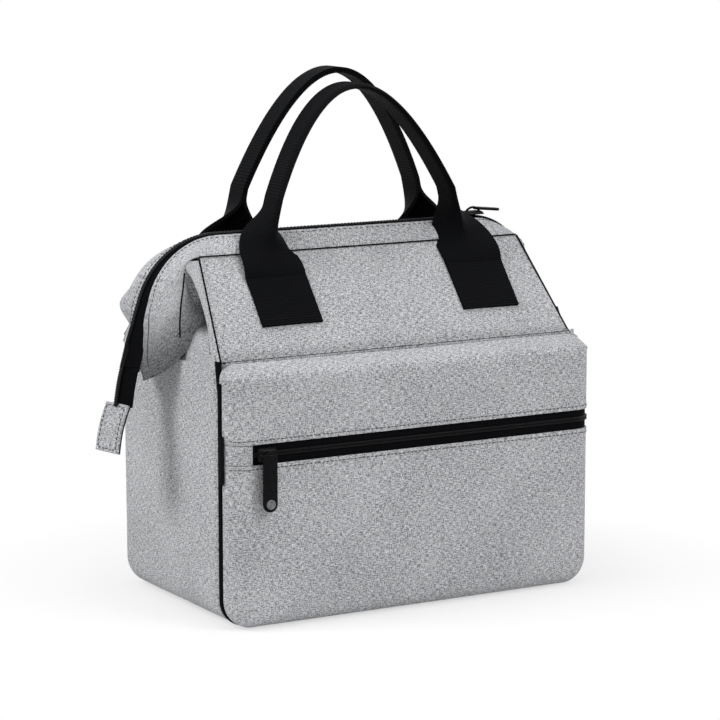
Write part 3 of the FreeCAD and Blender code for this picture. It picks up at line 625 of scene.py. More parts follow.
def liner_end_shape(y_face, direction, seed):
    def shape(across, along):
        z = liner_inset + (tub_top - liner_inset) * along
        x = (2 * across - 1) * (outline_reach(z) - liner_inset)
        crease = 0.5 * ripples(x, z, 28, seed) - 0.5
        return x, y_face - direction * (liner_inset - np.minimum(crease, 0)), z
    return shape


cuts = [
    sewn("foil_liner", 110, 34, liner_strip_shape, panel_flat(strip_length, strip_depth), 0.5, foil),
    sewn("foil_front", 50, 34, liner_end_shape(tub_front, -1, 22), panel_flat(240, 150), 0.5, foil),
    sewn("foil_back", 50, 34, liner_end_shape(tub_back, 1, 23), panel_flat(240, 150), 0.5, foil),
]
bpy.ops.object.select_all(action="DESELECT")
for cut in cuts:
    cut.select_set(True)
bpy.context.view_layer.objects.active = cuts[0]
bpy.ops.object.join()
foil_liner = cuts[0]
strip_cut, end_cut = cut_sizes[foil_liner.name], cut_sizes["foil_front"]
strip_run, (strip_middle, strip_longest, strip_mean) = strip_cut
cut_sizes[foil_liner.name] = [strip_run, (strip_middle, strip_longest + end_cut[1][1], strip_mean)]
cut_areas[foil_liner.name] += cut_areas["foil_front"] + cut_areas["foil_back"]
dress(foil_liner, "tub", "foil_liner", "tub_liner")
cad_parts["base_board"].data.materials.clear()
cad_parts["base_board"].data.materials.append(board)
print("liner has", len(foil_liner.data.polygons), "faces")

# %% [markdown]
# ## Piping
# A black cord is sewn into the seam between the sides and the front. A curve with a round bevel would do, but
# a rolled-up grid along the same outline keeps the ribs of its cover running across it.

# %% Front piping
def tube(name, centre, radius, length, columns, material, rows=10):
    """A round cord along a line given by arrays from 0 to 1."""
    def shape(across, along):
        step = 0.002
        ahead = np.column_stack(centre(np.clip(across + step, 0, 1)))
        behind = np.column_stack(centre(np.clip(across - step, 0, 1)))
        heading = (ahead - behind) / np.linalg.norm(ahead - behind, axis=1, keepdims=True)
        side = np.cross(heading, (0, 1, 0))
        side /= np.linalg.norm(side, axis=1, keepdims=True)
        rise = np.cross(side, heading)
        turn = 2 * math.pi * along
        ring = np.cos(turn)[:, None] * side + np.sin(turn)[:, None] * rise
        spots = np.column_stack(centre(across)) + radius * ring
        return spots[:, 0], spots[:, 1], spots[:, 2]
    return sewn(name, columns, rows, shape,
                lambda across, along: (along * 2 * math.pi * radius, across * length), 0, material)


piping_inset, piping_radius = 0.9, 1.9


def piping_line(along):
    x, z, out_x, out_z = tub_outline(along * strip_length)
    end = 1 - ease(along, 0.0, 0.03)
    tucked = ease(along, 0.975, 1.0)
    y = tub_front - 1.6 + 3.0 * end + 2.0 * tucked
    z = z - out_z * piping_inset + 0.9 * out_z**2 + 5.0 * end - 5.0 * tucked
    return x - out_x * piping_inset - 3.0 * tucked, y, z


front_piping = tube("front_piping", piping_line, piping_radius, strip_length, 260, piping)
dress(front_piping, "tub", "black_trim", "front_piping")
print("piping is", round(strip_length), "mm long")

# %% [markdown]
# ## Front pocket
# The pocket is a padded flap that covers the whole front: a lower panel, an upper panel that turns back into
# a narrow shelf, and a zip between them that runs from a small cloth stop on the left to the right edge and
# round it. Seen from above, all of them follow one line, flat in front with a soft bend at each end, so that
# line is written once.

# %% Pocket line
pocket_face, pocket_bend = -70.0, 11.5
pocket_flat = half_width - pocket_bend
pocket_half_run = pocket_flat + pocket_bend * math.pi / 2


def pocket_line(run, radius=pocket_bend):
    """Place across the bag, and how far back, at a run along the pocket's line from its middle."""
    bend = np.clip((np.abs(run) - pocket_flat) / pocket_bend, 0, math.pi / 2)
    x = np.sign(run) * (np.minimum(np.abs(run), pocket_flat) + radius * np.sin(bend))
    return x, radius * (1 - np.cos(bend)), np.sin(bend)


zip_low, zip_high = 94.2, 105.8
print("pocket line is", round(2 * pocket_half_run), "mm long")

# %% [markdown]
# The lower panel rolls under at the floor and follows the tub's rounded corners. What is in the pocket pushes
# it out a little, and the cloth is slightly uneven, as a padded panel is.

# %% Lower panel
floor_bend = 9.0
lower_straight = zip_low - floor_bend - 0.6
lower_length = lower_straight + floor_bend * math.pi / 2 + 3.0


def lower_panel_shape(across, along):
    run = (2 * across - 1) * pocket_half_run
    drop = along * lower_length
    under = np.clip((drop - lower_straight) / floor_bend, 0, math.pi / 2)
    tail = np.clip(drop - lower_straight - floor_bend * math.pi / 2, 0, None)
    z = zip_low - np.minimum(drop, lower_straight) - floor_bend * np.sin(under)
    x, back, edge = pocket_line(run)
    back = back + (1 - edge**2) * (floor_bend * (1 - np.cos(under)) + tail)
    fullness = np.sin(math.pi * np.clip(drop / lower_length, 0, 1)) * (1 - (x / half_width) ** 2)
    creases = 0.5 * ripples(x, z * 1.4, 70, 31) * np.clip(drop / 15, 0, 1) * (1 - edge)
    hem = 0.5 * (1 - ease(drop, 2.0, 5.0))
    y = pocket_face + back - 2.2 * fullness - creases * fullness - hem
    return x * outline_reach(z) / half_width, y, z


def pocket_flat_cut(height):
    """Flat sizes of a panel that runs the whole pocket line."""
    return lambda across, along: ((2 * across - 1) * pocket_half_run, along * height)


pocket_lower = sewn("pocket_lower_panel", 130, 60, lower_panel_shape, pocket_flat_cut(lower_length), 1.5,
                    grey_cloth)
dress(pocket_lower, "tub", "grey_cloth", "pocket_lower_panel")
print("lower panel is", round(lower_length), "mm tall")

# %% [markdown]
# The upper panel stands on the zip, turns back over a soft edge and runs to the fold line of the mouth as a
# shelf. Its ends turn down to the piping.

# %% Upper panel and shelf
shelf_bend, shelf_turn = 7.0, math.radians(72)
upper_straight = 139.0 - zip_high
shelf_length = 14.2
upper_length = upper_straight + shelf_bend * shelf_turn + shelf_length


def upper_panel_shape(across, along):
    run = (2 * across - 1) * pocket_half_run
    rise = along * upper_length
    turn = np.clip((rise - upper_straight) / shelf_bend, 0, shelf_turn)
    shelf = np.clip(rise - upper_straight - shelf_bend * shelf_turn, 0, None)
    z = zip_high + np.minimum(rise, upper_straight) + shelf_bend * np.sin(turn) + shelf * math.cos(shelf_turn)
    back = shelf_bend * (1 - np.cos(turn)) + shelf * math.sin(shelf_turn)
    x, bend_back, edge = pocket_line(run)
    top = ease(turn, math.radians(15), shelf_turn)
    fullness = np.sin(math.pi * np.clip(rise / (upper_straight + 8), 0, 1)) * (1 - (x / half_width) ** 2)
    creases = 0.5 * ripples(x, z, 55, 33) * np.clip(rise / 12, 0, 1) * (1 - edge)
    sag = 0.8 * ripples(x, 0 * x, 90, 34) * top * (1 - edge)
    hem = 0.5 * (1 - ease(rise, 2.0, 5.0))
    seam = 2.2 * ease(rise, upper_length - 4.0, upper_length)
    y = pocket_face + np.hypot(back, bend_back) - 1.6 * fullness - creases * (1 - top) - hem
    return x, np.minimum(y, -51.5), z - 0.55 * bend_back * top + sag - seam


pocket_upper = sewn("pocket_upper_panel", 130, 44, upper_panel_shape, pocket_flat_cut(upper_length), 1.5,
                    grey_cloth)
dress(pocket_upper, "tub", "grey_cloth", "pocket_upper_panel")
print("upper panel is", round(upper_length), "mm long with its shelf")

# %% [markdown]
# The zip starts at a patch of the same cloth. Its edges roll in at the seams, which leaves the thin lines
# that mark it off from the panels above and below.

# %% Zip stop
stop_end = -107.0


def stop_shape(across, along):
    run = -pocket_half_run + (pocket_half_run + stop_end) * across
    z = zip_low + 0.25 + (zip_high - zip_low - 0.5) * along
    x, back, edge = pocket_line(run)
    seam = roll(z - zip_low, 1.2) + roll(zip_high - z, 1.2) + roll(stop_end - x, 0.8)
    return x, pocket_face + back + 0.5 * seam - 0.2, z


zip_stop = sewn("pocket_zip_stop", 24, 16, stop_shape, panel_flat(pocket_half_run + stop_end, 11), 1.5,
                grey_cloth)
dress(zip_stop, "tub", "grey_cloth", "pocket_zip_stop")
pocket_lining = sewn("pocket_lining", 40, 24, lambda across, along: (
    (2 * across - 1) * (outline_reach(3 + 142 * along) - 3), np.full_like(across, -57.6), 3 + 142 * along),
    panel_flat(234, 142), 0.5, lining)
dress(pocket_lining, "tub", "pocket_lining", "pocket_lining")
print("zip stop and lining made")

# %% [markdown]
# ## Pocket zip
# A coil zip is two tapes with a nylon spiral sewn along each inner edge. The tapes are plain strips. Each
# coil is a half-round bead whose height swings along its length, slanted one way on the lower tape and the
# other way on the upper one, so that the closed zip shows the little arrows of a real one.

# %% Pocket zip tapes and coil
zip_height, zip_begin = 100.0, -106.6
zip_run = pocket_half_run - zip_begin
coil_pitch, coil_width, coil_rise = 1.5, 1.45, 1.15


def pocket_tape_shape(low, high):
    def shape(across, along):
        x, back, edge = pocket_line(zip_begin + zip_run * across, pocket_bend - 0.6)
        return x, pocket_face + 0.75 + back, low + (high - low) * along
    return shape


def coil_relief(run, along, slant):
    """Height of a nylon coil's bead at a run along it and a share across it."""
    bead = np.sqrt(np.maximum(1 - (2 * along - 1) ** 2, 0))
    swing = np.cos(2 * math.pi * (run / coil_pitch + slant * 0.45 * along))
    return bead * (0.72 + 0.28 * swing)


def pocket_coil_shape(middle, slant):
    def shape(across, along):
        run = zip_begin + zip_run * across
        x, back, edge = pocket_line(run)
        relief = coil_rise * coil_relief(run, along, slant)
        y = pocket_face + 0.7 + back - relief * (1 - edge)
        return x + np.sign(x) * edge * relief, y, middle + coil_width * (along - 0.5)
    return shape


zip_cut = lambda across, along: (along * 6, across * zip_run)
for side, low, high, slant in (("lower", 94.0, 99.9, 1), ("upper", 100.1, 106.0, -1)):
    tape = sewn(f"pocket_zip_{side}_tape", 90, 4, pocket_tape_shape(low, high), zip_cut, 0.7, zip_tape)
    dress(tape, "tub", "zip_tape", f"pocket_zip_{side}_tape")
    coil = sewn(f"pocket_zip_{side}_coil", 900, 7, pocket_coil_shape(zip_height - slant * 0.76, slant),
                zip_cut,
                0.3, zip_coil)
    dress(coil, "tub", "zip_coil", "pocket_zip_teeth")
print("pocket zip runs", round(zip_run), "mm")

# %% [markdown]
# ## Mouth panels
# Above the fold line two padded panels lean in towards the zip. Each is one cut, wider at the fold than at
# the top seam. The front and back halves are alike, so one function makes both: side -1 is the front, 1 the
# back.

# %% Mouth panels
centre_y, fold_z, seam_z = 8.0, 150.3, 203.0
fold_gap, seam_gap = 61.0, 17.0
fold_reach, seam_reach, panel_shift = 115.0, 106.0, -2.5
mouth_sides = ((-1, "front"), (1, "back"))
hands = ((-1, "left"), (1, "right"))


def panel_gap(z):
    return fold_gap + (seam_gap - fold_gap) * (z - fold_z) / (seam_z - fold_z)


def panel_reach(z):
    return fold_reach + (seam_reach - fold_reach) * (z - fold_z) / (seam_z - fold_z)


def mouth_panel_shape(side, depth, margin):
    def shape(across, along):
        z = fold_z + (seam_z - fold_z - margin / 2) * along
        reach = panel_reach(z) - margin
        x = panel_shift + (2 * across - 1) * reach
        full = 1.8 * np.sin(math.pi * along) * np.sin(math.pi * across)
        crease = 0.4 * ripples(x, z, 50, 41 + side) * np.sin(math.pi * np.clip(along, 0, 1))
        out = full + crease - depth - 1.8 * (1 - ease(z, fold_z, fold_z + 4.0))
        return x, centre_y + side * (panel_gap(z) + 0.77 * out), z + 0.64 * out
    return shape


for side, name in mouth_sides:
    body = f"{name}_mouth"
    panel = sewn(f"{name}_mouth_panel", 90, 40, mouth_panel_shape(side, 0, 0), panel_flat(230, 69), 1.4,
                 grey_cloth)
    dress(panel, body, "grey_cloth", f"{name}_mouth_panel")
    pad = sewn(f"{name}_mouth_foam", 30, 14, mouth_panel_shape(side, 1.8, 6), panel_flat(220, 66), 3.4, foam)
    dress(pad, body, "foam", f"{name}_mouth_foam")
    skin = sewn(f"{name}_mouth_liner", 50, 24, mouth_panel_shape(side, 5.6, 6), panel_flat(220, 66), 0.5,
                foil)
    dress(skin, body, "foil_liner", f"{name}_mouth_liner")
print("mouth panels made")

# %% [markdown]
# ## Bands and ears
# A band of cloth is sewn along the top of each panel and carries the zip. At both ends it leaves the panel,
# widens and turns down over the side as an ear, stiffened by the wire inside, so it looks like a soft tube.
# It is ruled between two lines that run up one ear, across the top and down the other: the seam and the zip
# edge.

# %% Bands
def arch_line(share, reach, top, radius, tip):
    """Up one side, round a corner, across, round and down, from the left tip to the right tip."""
    half = np.minimum(share, 1 - share)
    climb = np.clip(half / 0.22, 0, 1)
    bend = np.clip((half - 0.22) / 0.14, 0, 1) * math.pi / 2
    level = np.clip((half - 0.36) / 0.14, 0, 1)
    x = reach - radius * (1 - np.cos(bend)) - level * (reach - radius)
    return np.sign(share - 0.5) * x, tip + (top - radius - tip) * climb + radius * np.sin(bend)


def ear_share(share):
    """1 at the ears' tips, 0 along the top."""
    return 1 - ease(np.minimum(share, 1 - share), 0.10, 0.36)


ridge_gap, ridge_top, ear_tip = 4.0, 213.3, 134.0
ear_opening, ear_tuck = 4.0, 3.0
ridge_reach, ridge_radius, tip_flare = (138.0, 119.0), (48.0, 38.0), (8.0, 27.0)
flare_run = 36.0
ear_seam_reach = (118.0, 109.0)


def ridge_line(share, out, tip):
    """The zip's ridge, moved outward; the right ear is drawn in a little further than the left one."""
    left = share < 0.5
    reach, radius = np.where(left, *ridge_reach), np.where(left, *ridge_radius)
    x, z = arch_line(share, reach + out, ridge_top + out, radius + out, tip)
    left_flare = tip_flare[0] * np.clip((178 - z) / flare_run, 0, 1) ** 1.3
    right_flare = tip_flare[1] * np.clip((180 - z) / flare_run, 0, 1) ** 1.1
    return x + np.sign(x) * np.where(left, left_flare, right_flare), z


def seam_out(z):
    """How far an ear's inner edge leans in on its way down."""
    return -6.0 * np.clip((198 - z) / 26, 0, 1) * ease(z, 146, 166)


def band_shape(side):
    def shape(across, along):
        low_x, low_z = arch_line(across, np.where(across < 0.5, *ear_seam_reach), 203.3, 9.0, 172.0)
        low_x = low_x + np.sign(low_x) * seam_out(low_z)
        ear = ear_share(across)
        high_x, high_z = ridge_line(across, -ear_tuck * ear, ear_tip)
        tip = 1 - ease(np.minimum(across, 1 - across), 0.0, 0.10)
        bow = np.sin(math.pi * along)
        swell = 1.0 + max(side, 0) * 1.4
        gap = seam_gap + (ridge_gap + ear_opening * ear - seam_gap) * along
        gap = gap + np.sin(math.pi * along**0.7) * (0.8 + 5.5 * ear * swell)
        x = low_x + (high_x - low_x) * along
        z = low_z + (high_z - low_z) * along + bow * (0.6 * (1 - ear) - 8.0 * tip)
        bulge = 3.4 if side < 0 else 15.0 * ease(z, 156, 178)
        x = x + np.sign(x) * bow * ear * np.where(across < 0.5, bulge, 1.0)
        under = np.clip(1 - np.minimum(across, 1 - across) / 0.16, 0, 1) ** 2
        x = x - np.sign(x) * 9.0 * under * (1 - 0.6 * along)
        wobble = 0.35 * ripples(x + z, gap * 4, 40, 51 + side) * bow
        return x, centre_y + side * (gap + wobble), z
    return shape


def paint_crease_shade(piece, depth):
    """Store painted shade, from 0 to 1 at each vertex, for the cloth to read: how deep in a crease it lies."""
    spots = np.array([vertex.co for vertex in piece.data.vertices]) / mm
    layer = piece.data.attributes.new("crease", "FLOAT", "POINT")
    layer.data.foreach_set("value", np.clip(depth(np.abs(spots[:, 0]), spots[:, 2]), 0, 1).astype(np.float32))


for side, name in mouth_sides:
    band = sewn(f"{name}_band", 220, 18, band_shape(side), lambda across, along: (along * 20,
                across * 460), 1.4, grey_cloth)
    # Painted shade: the ears' outer, lower part turns darker, where the ear curls under into shadow.
    paint_crease_shade(band, lambda x, z: 0.85 * ease(x, 108, 118) * ease(180 - z, 0, 38))
    dress(band, f"{name}_mouth", "grey_cloth", f"{name}_band")
print("bands made")

# %% [markdown]
# ## Side folds
# Between the panel's edge and the ear the side cloth folds inward: a rolled, topstitched edge along the
# panel, then a deep valley up to the ear's seam, and a puff below where the cloth tucks in. The folds and
# tucks keep the places they are made in, attached to neither the tub nor the mouth.

# %% Side folds
def fold_shape(side, hand):
    def shape(across, along):
        z = strip_top + (201.5 - strip_top) * along
        low = np.clip((fold_z - z) / (fold_z - strip_top), 0, 1)
        edge_gap = np.where(z > fold_z, panel_gap(np.maximum(z, fold_z)), 61.5) + 0.4
        corner_reach = fold_reach + hand * panel_shift
        edge_reach = np.where(z > fold_z, panel_reach(np.maximum(z, fold_z)) + hand * panel_shift,
                              corner_reach + (119.2 - corner_reach) * low)
        ear_gap = seam_gap + 0.6
        gap = edge_gap + (ear_gap - edge_gap) * across
        corner = roll(203.3 - z, 9.0)
        left_reach, right_reach = ear_seam_reach
        ear_edge = left_reach - (left_reach - right_reach) * max(hand, 0) * ease(z, 146, 160)
        reach = edge_reach + (ear_edge + seam_out(z) - corner - edge_reach) * across
        from_edge = (edge_gap - ear_gap) * across
        width = np.maximum(edge_gap - ear_gap, 0.5)
        hem = 2.0 * np.sin(math.pi * np.clip(from_edge / 9.0, 0, 1))
        deep = ease(z, 160, 174) * np.clip(width / 14, 0, 1)
        shift = np.clip((from_edge - 5) / np.maximum(width - 5, 0.5), 0, 1) ** 0.8
        valley = 26.0 * deep * np.sin(math.pi * shift**1.5)
        y = centre_y + side * gap
        puff = (1 - ease(z, 158, 166)) * side_swell(y, z, 1)
        puff = puff * np.sin(math.pi * np.clip(across + 0.02, 0, 1)) ** 0.3
        lump = 2.5 * np.exp(-((z - 155) / 6) ** 2) * np.exp(-((from_edge - 18) / 9) ** 2)
        pinch = 1.6 * np.exp(-((z - 150) / 3) ** 2) * np.exp(-((from_edge - 27) / 6) ** 2)
        x = reach + hem * np.clip(width / 12, 0, 1) - valley + puff + lump - pinch
        return hand * x, y, z - 0.05 * valley
    return shape


def tuck_shape(side, hand):
    def shape(across, along):
        edge_x, edge_y, edge_z = band_shape(side)(np.full_like(across, max(hand, 0)), across)
        edge_x = np.abs(edge_x)
        y_in = centre_y + side * (seam_gap + 0.6) * (1 - across)
        x_in = half_width + side_swell(y_in, np.full_like(across, strip_top), 1) - 0.5
        hollow = 7.0 * np.sin(math.pi * along)
        x = edge_x + (x_in - edge_x) * along - 0.8 * hollow
        y = edge_y + (y_in - edge_y) * along
        return hand * x, y, edge_z + (strip_top - edge_z) * along + hollow * across
    return shape


for side, name in mouth_sides:
    for hand, hand_name in hands:
        middle = (0.0, centre_y, 120.0)
        fold = sewn(f"{hand_name}_{name}_fold", 44, 60, fold_shape(side, hand), panel_flat(60, 56), 1.1,
                    grey_cloth, middle)
        # Painted shade: the cloth turns darker into the valley beside the panel's edge, where the fold lies in
        # shadow.
        paint_crease_shade(fold, lambda x, z: (panel_reach(z) - x + 2) / 7 * ease(z, 158, 166))
        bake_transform(fold)
        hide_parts(f"{hand_name}_{name}_gusset")
        tuck = sewn(f"{hand_name}_{name}_tuck", 24, 14, tuck_shape(side, hand), panel_flat(34, 20), 1.1,
                    grey_cloth,
                    (0.0, centre_y, 190.0))
        # Painted shade: the tuck turns darker towards the ear's lower edge, where the ear's shadow falls.
        paint_crease_shade(tuck, lambda x, z: 0.2 + (x - 121) / 8)
        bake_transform(tuck)
        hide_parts(f"{hand_name}_{name}_gusset")
print("side folds made")

# %% [markdown]
# ## Main zip
# The main zip follows the ridge of both bands. On the top run its tape lies flat, and on the ears it stands
# out a little from the band, which shows as a black edge with the coil on it.

# %% Main zip
ridge_run, zip_tip = 430.0, 142.0


def main_tape_shape(side):
    def shape(across, along):
        ear = ear_share(across)
        x, z = ridge_line(across, (0.6 + 2.6 * ear) * along - (ear_tuck * ear + 0.6) * (1 - along), zip_tip)
        gap = (ridge_gap + 1.0 + ear_opening * ear) * (1 - along) + 0.3 * along
        return x, centre_y + side * gap, z
    return shape


def main_coil_shape(side):
    def shape(across, along):
        relief = 0.85 * coil_relief(across * ridge_run, along, side)
        x, z = ridge_line(across, 0.6 + 2.6 * ear_share(across) + relief, zip_tip)
        return x, centre_y + side * (0.1 + 1.5 * along), z
    return shape


for side, name in mouth_sides:
    tape = sewn(f"{name}_zip_tape", 200, 4, main_tape_shape(side), lambda across, along: (along * 6,
                across * ridge_run),
                0.6, zip_tape)
    dress(tape, f"{name}_mouth", "zip_tape", f"{name}_zip_tape")
    coil = sewn(f"{name}_zip_coil", 1500, 6, main_coil_shape(side), lambda across, along: (along * 2,
                across * ridge_run),
                0.3, zip_coil)
    dress(coil, f"{name}_mouth", "zip_coil", f"{name}_zip_teeth")
    def wire_line(share, side=side):
        x, z = ridge_line(share, -10.0, 150.0)
        return x, np.full_like(x, centre_y + side * 7.0), z
    rod = tube(f"{name}_frame_wire", wire_line, 1.5, 400, 120, steel, 10)
    dress(rod, f"{name}_mouth", "frame_steel", f"{name}_frame_wire")
print("main zip is", round(ridge_run), "mm long")

# %% [markdown]
# ## Seam lines
# A thin black cord lies along each seam of the mouth: along the top of the panels, down their side edges to
# the piping, and down the ears' seams, and one more lies along the fold line. These cords are painted shade:
# dark lines that stand in for the shadow in the seams.

# %% Seam cords, painted shade
def line_between(first, last):
    """A straight line between two points."""
    first, last = np.array(first), np.array(last)
    return lambda share: tuple(first[axis] + (last[axis] - first[axis]) * share for axis in range(3))


for side, name in mouth_sides:
    y_seam = centre_y + side * (seam_gap + 0.5)
    # Painted shade: the shadow line of the top seam.
    top_seam_shadow = tube(f"{name}_top_cord", line_between(
        (panel_shift - seam_reach, y_seam, 203.4), (panel_shift + seam_reach, y_seam, 203.4)),
                    0.4, 218, 40, piping, 8)
    dress(top_seam_shadow, f"{name}_mouth", "black_trim")
    y_crease = centre_y + side * (fold_gap + 0.2)
    # Painted shade: the shadowed crease along the fold between each mouth panel and the cloth below it.
    crease = tube(f"{name}_fold_line", line_between(
        (panel_shift - fold_reach, y_crease, fold_z - 0.4), (panel_shift + fold_reach, y_crease, fold_z - 0.4)),
                  0.45, 236, 40, piping, 8)
    dress(crease, "tub", "black_trim")
    for hand, hand_name in hands:
        y_fold = centre_y + side * (fold_gap + 0.9)
        # Painted shade: the shadow line down each side edge of the panel.
        edge_seam_shadow = tube(f"{hand_name}_{name}_edge_cord", line_between(
            (panel_shift + hand * (fold_reach + 0.3), y_fold, fold_z - 1),
            (panel_shift + hand * (seam_reach + 0.3), y_seam + side * 0.4, 203.0)),
            0.5, 70, 40, piping, 8)
        dress(edge_seam_shadow, f"{name}_mouth", "black_trim")

        def ear_seam(share, side=side, hand=hand):
            spot = 0.04 + 0.19 * share
            return band_shape(side)(spot if hand < 0 else 1 - spot, 0.34 - 0.32 * share)
        # Painted shade: the shadow line down each ear's seam.
        ear_seam_shadow = tube(f"{hand_name}_{name}_ear_cord", ear_seam, 0.5, 36, 30, piping, 8)
        dress(ear_seam_shadow, f"{name}_mouth", "black_trim")
print("seam cords made")

# %% [markdown]
# ## Handles
# Each handle is one length of 38 mm webbing. Its ends are sewn flat on the mouth panel. Above the seam the
# webbing folds lengthwise like a book, so that the grip is half as wide and double, and arches over. The two
# handles lean together at the top. The path is a parabola, which fits a strap that is stiff and bent.

# %% Handles
web_half, web_thick = 19.0, 2.0
foot_spread, foot_drop = 66.0, 24.0


def handle_line(share, lift, neck_rise, apex, neck_half):
    """Middle of the webbing from one foot's top over the arch to the other, in X and Z."""
    neck = lift + neck_rise
    climb = np.clip(share / 0.16, 0, 1)
    fall = np.clip((1 - share) / 0.16, 0, 1)
    sweep = np.clip((share - 0.16) / 0.68, 0, 1) * 2 - 1
    bend = np.sign(sweep) * (0.35 * np.abs(sweep) + 0.65 * np.abs(sweep) ** 1.5)
    low = np.minimum(climb, fall)
    slope = 0.5 * neck_half / (2 * (apex - neck))
    x_low = foot_spread + (neck_half - foot_spread) * low**2 * (3 - 2 * low)
    x_low = x_low + slope * neck_rise * low**2 * (1 - low)
    x = np.where(low < 1, np.sign(share - 0.5) * x_low, neck_half * bend)
    z = np.where(low < 1, lift + neck_rise * low, apex - (apex - neck) * bend**2)
    return x, z


def handle_shape(side, lift, neck_rise, apex, neck_half, swing, lean):
    base_gap = panel_gap(lift) + 2.6

    def shape(across, along):
        x, z = handle_line(along, lift, neck_rise, apex, neck_half)
        step = 0.004
        x_on, z_on = handle_line(np.clip(along + step, 0, 1), lift, neck_rise, apex, neck_half)
        x_off, z_off = handle_line(np.clip(along - step, 0, 1), lift, neck_rise, apex, neck_half)
        run = np.hypot(x_on - x_off, z_on - z_off)
        normal_x, normal_z = (z_on - z_off) / run, -(x_on - x_off) / run
        rise = np.minimum(along, 1 - along) / 0.16 * neck_rise
        closed = ease(rise, neck_rise - 39.0, neck_rise - 5.0)
        angle = closed * math.radians(90)
        off = (2 * across - 1) * web_half
        spread = off * np.cos(angle) + np.sign(off) * 1.7 * closed * np.clip(np.abs(off) / 2.5, 0, 1)
        inward = np.abs(off) * np.sin(angle)
        gap = base_gap + swing * ease(rise, 0.0, 18.0) - inward - lean * np.maximum(z - lift - neck_rise, 0)
        return x + normal_x * spread, centre_y + side * gap, z + normal_z * spread
    return shape


def foot_shape(side, hand, lift):
    def shape(across, along):
        drop = foot_drop * along
        z = lift - drop + 0.6
        gap = panel_gap(z) + 2.4 + 0.4 * (1 - along)
        x = hand * foot_spread + (2 * across - 1) * web_half
        dome = 1.0 * np.cos(0.5 * math.pi * x / panel_reach(z))
        return x, centre_y + side * (gap + dome), z + 0.4 * dome
    return shape


for side, name, lift, neck_rise, apex, neck_half, swing, lean in (
        (-1, "front", 190.0, 44.0, 295.0, 57.5, -7.5, 0.2), (1, "back", 178.0, 58.0, 303.0, 58.0, 0.0, 0.1)):
    loop = sewn(f"{name}_handle", 22, 200, handle_shape(side, lift, neck_rise, apex, neck_half, swing, lean),
                lambda across, along: (across * 38, along * 330), web_thick, webbing, (0.0, centre_y, 240.0))
    dress(loop, f"{name}_handle_loop", "webbing", f"{name}_handle")
    for hand, hand_name in hands:
        foot = sewn(f"{name}_{hand_name}_foot", 16, 12, foot_shape(side, hand, lift),
                    lambda across, along: (across * 38, along * foot_drop), web_thick, webbing)
        dress(foot, f"{name}_mouth", "webbing", f"{name}_{hand_name}_foot")
print("handles made")

# %% [markdown]
# ## Zip tails and tabs
# Below each ear the closed zip comes free as a short tail, and a folded tab of grey cloth with a black back
# is stitched over its end. Both hang straight and lean out a little.

# %% Tails and tabs
def hanging_shape(hand, top_x, top_z, lean_degrees, length, width_top, width_low, stand, tent=0.0, twist=0.0):
    lean = math.radians(lean_degrees)

    def shape(across, along):
        run = length * along
        width = width_top + (width_low - width_top) * along
        curl = 1.2 * np.sin(math.pi * along)
        x = top_x + run * math.sin(lean) + (stand + curl) * math.cos(lean)
        x = x - tent * np.abs(2 * across - 1) + twist * (across - 0.5) * width
        z = top_z - run * math.cos(lean) + (stand + curl) * math.sin(lean)
        return hand * x, centre_y + (across - 0.5) * width, z
    return shape


for hand, name in hands:
    body = f"{name}_tail"
    behind = (0.0, centre_y, 60.0)
    tail = sewn(f"{name}_zip_tail", 10, 24, hanging_shape(hand, 144.0, 154.0, 14, 36, 17, 17, 0.4, 6.0),
                lambda across, along: (across * 16, along * 38), 0.8, zip_tape, behind)
    dress(tail, body, "zip_tape", f"{name}_zip_tail")
    for half in (-1, 1):
        def tail_coil(across, along, half=half):
            hung = hanging_shape(hand, 144.0, 154.0, 14, 36, 17, 17, 0.5)
            x, y, z = hung(np.full_like(across, 0.5), across)
            relief = 1.2 * coil_relief(across * 38, along, half)
            return x + hand * relief, y + half * (0.1 + 1.5 * along), z + 0.4 * relief
        coil = sewn(f"{name}_tail_coil_{'front' if half < 0 else 'back'}", 130, 6, tail_coil,
                    lambda across, along: (along * 2, across * 33), 0.3, zip_coil, behind)
        dress(coil, body, "zip_coil")
    tab = sewn(f"{name}_zip_tab", 18, 24, hanging_shape(hand, 150.0, 120.5, 15, 28, 19, 19, 2.2, twist=0.24),
               lambda across, along: (across * 19, along * 27), 1.2, grey_cloth, behind)
    dress(tab, body, "grey_cloth", f"{name}_zip_tab")
    backing = sewn(f"{name}_tab_backing", 10, 12,
                   hanging_shape(hand, 150.0, 120.3, 15, 28, 18.4, 18.4, 0.9, twist=0.24),
                   lambda across, along: (across * 19, along * 27), 0.9, zip_tape, behind)
    dress(backing, body, "black_trim")
tag = sewn("side_tag", 8, 14, lambda across, along: (
    -120.9 - 0.7 * np.sin(math.pi * across), -61.4 + 4.4 * across, 83 + 27 * along), panel_flat(4, 27), 0.6, piping)
dress(tag, "tub", "black_trim", "side_tag")
print("tails, tabs and tag made")

# %% [markdown]
# ## Sliders and pulls
# The sliders and pulls are the only hard parts outside. A slider is a small cast block, rounded at its edges
# and pinched in where the tapes leave it, with a bridge over the pull. A cube is bevelled for the block, and
# its upper edges are drawn in first.

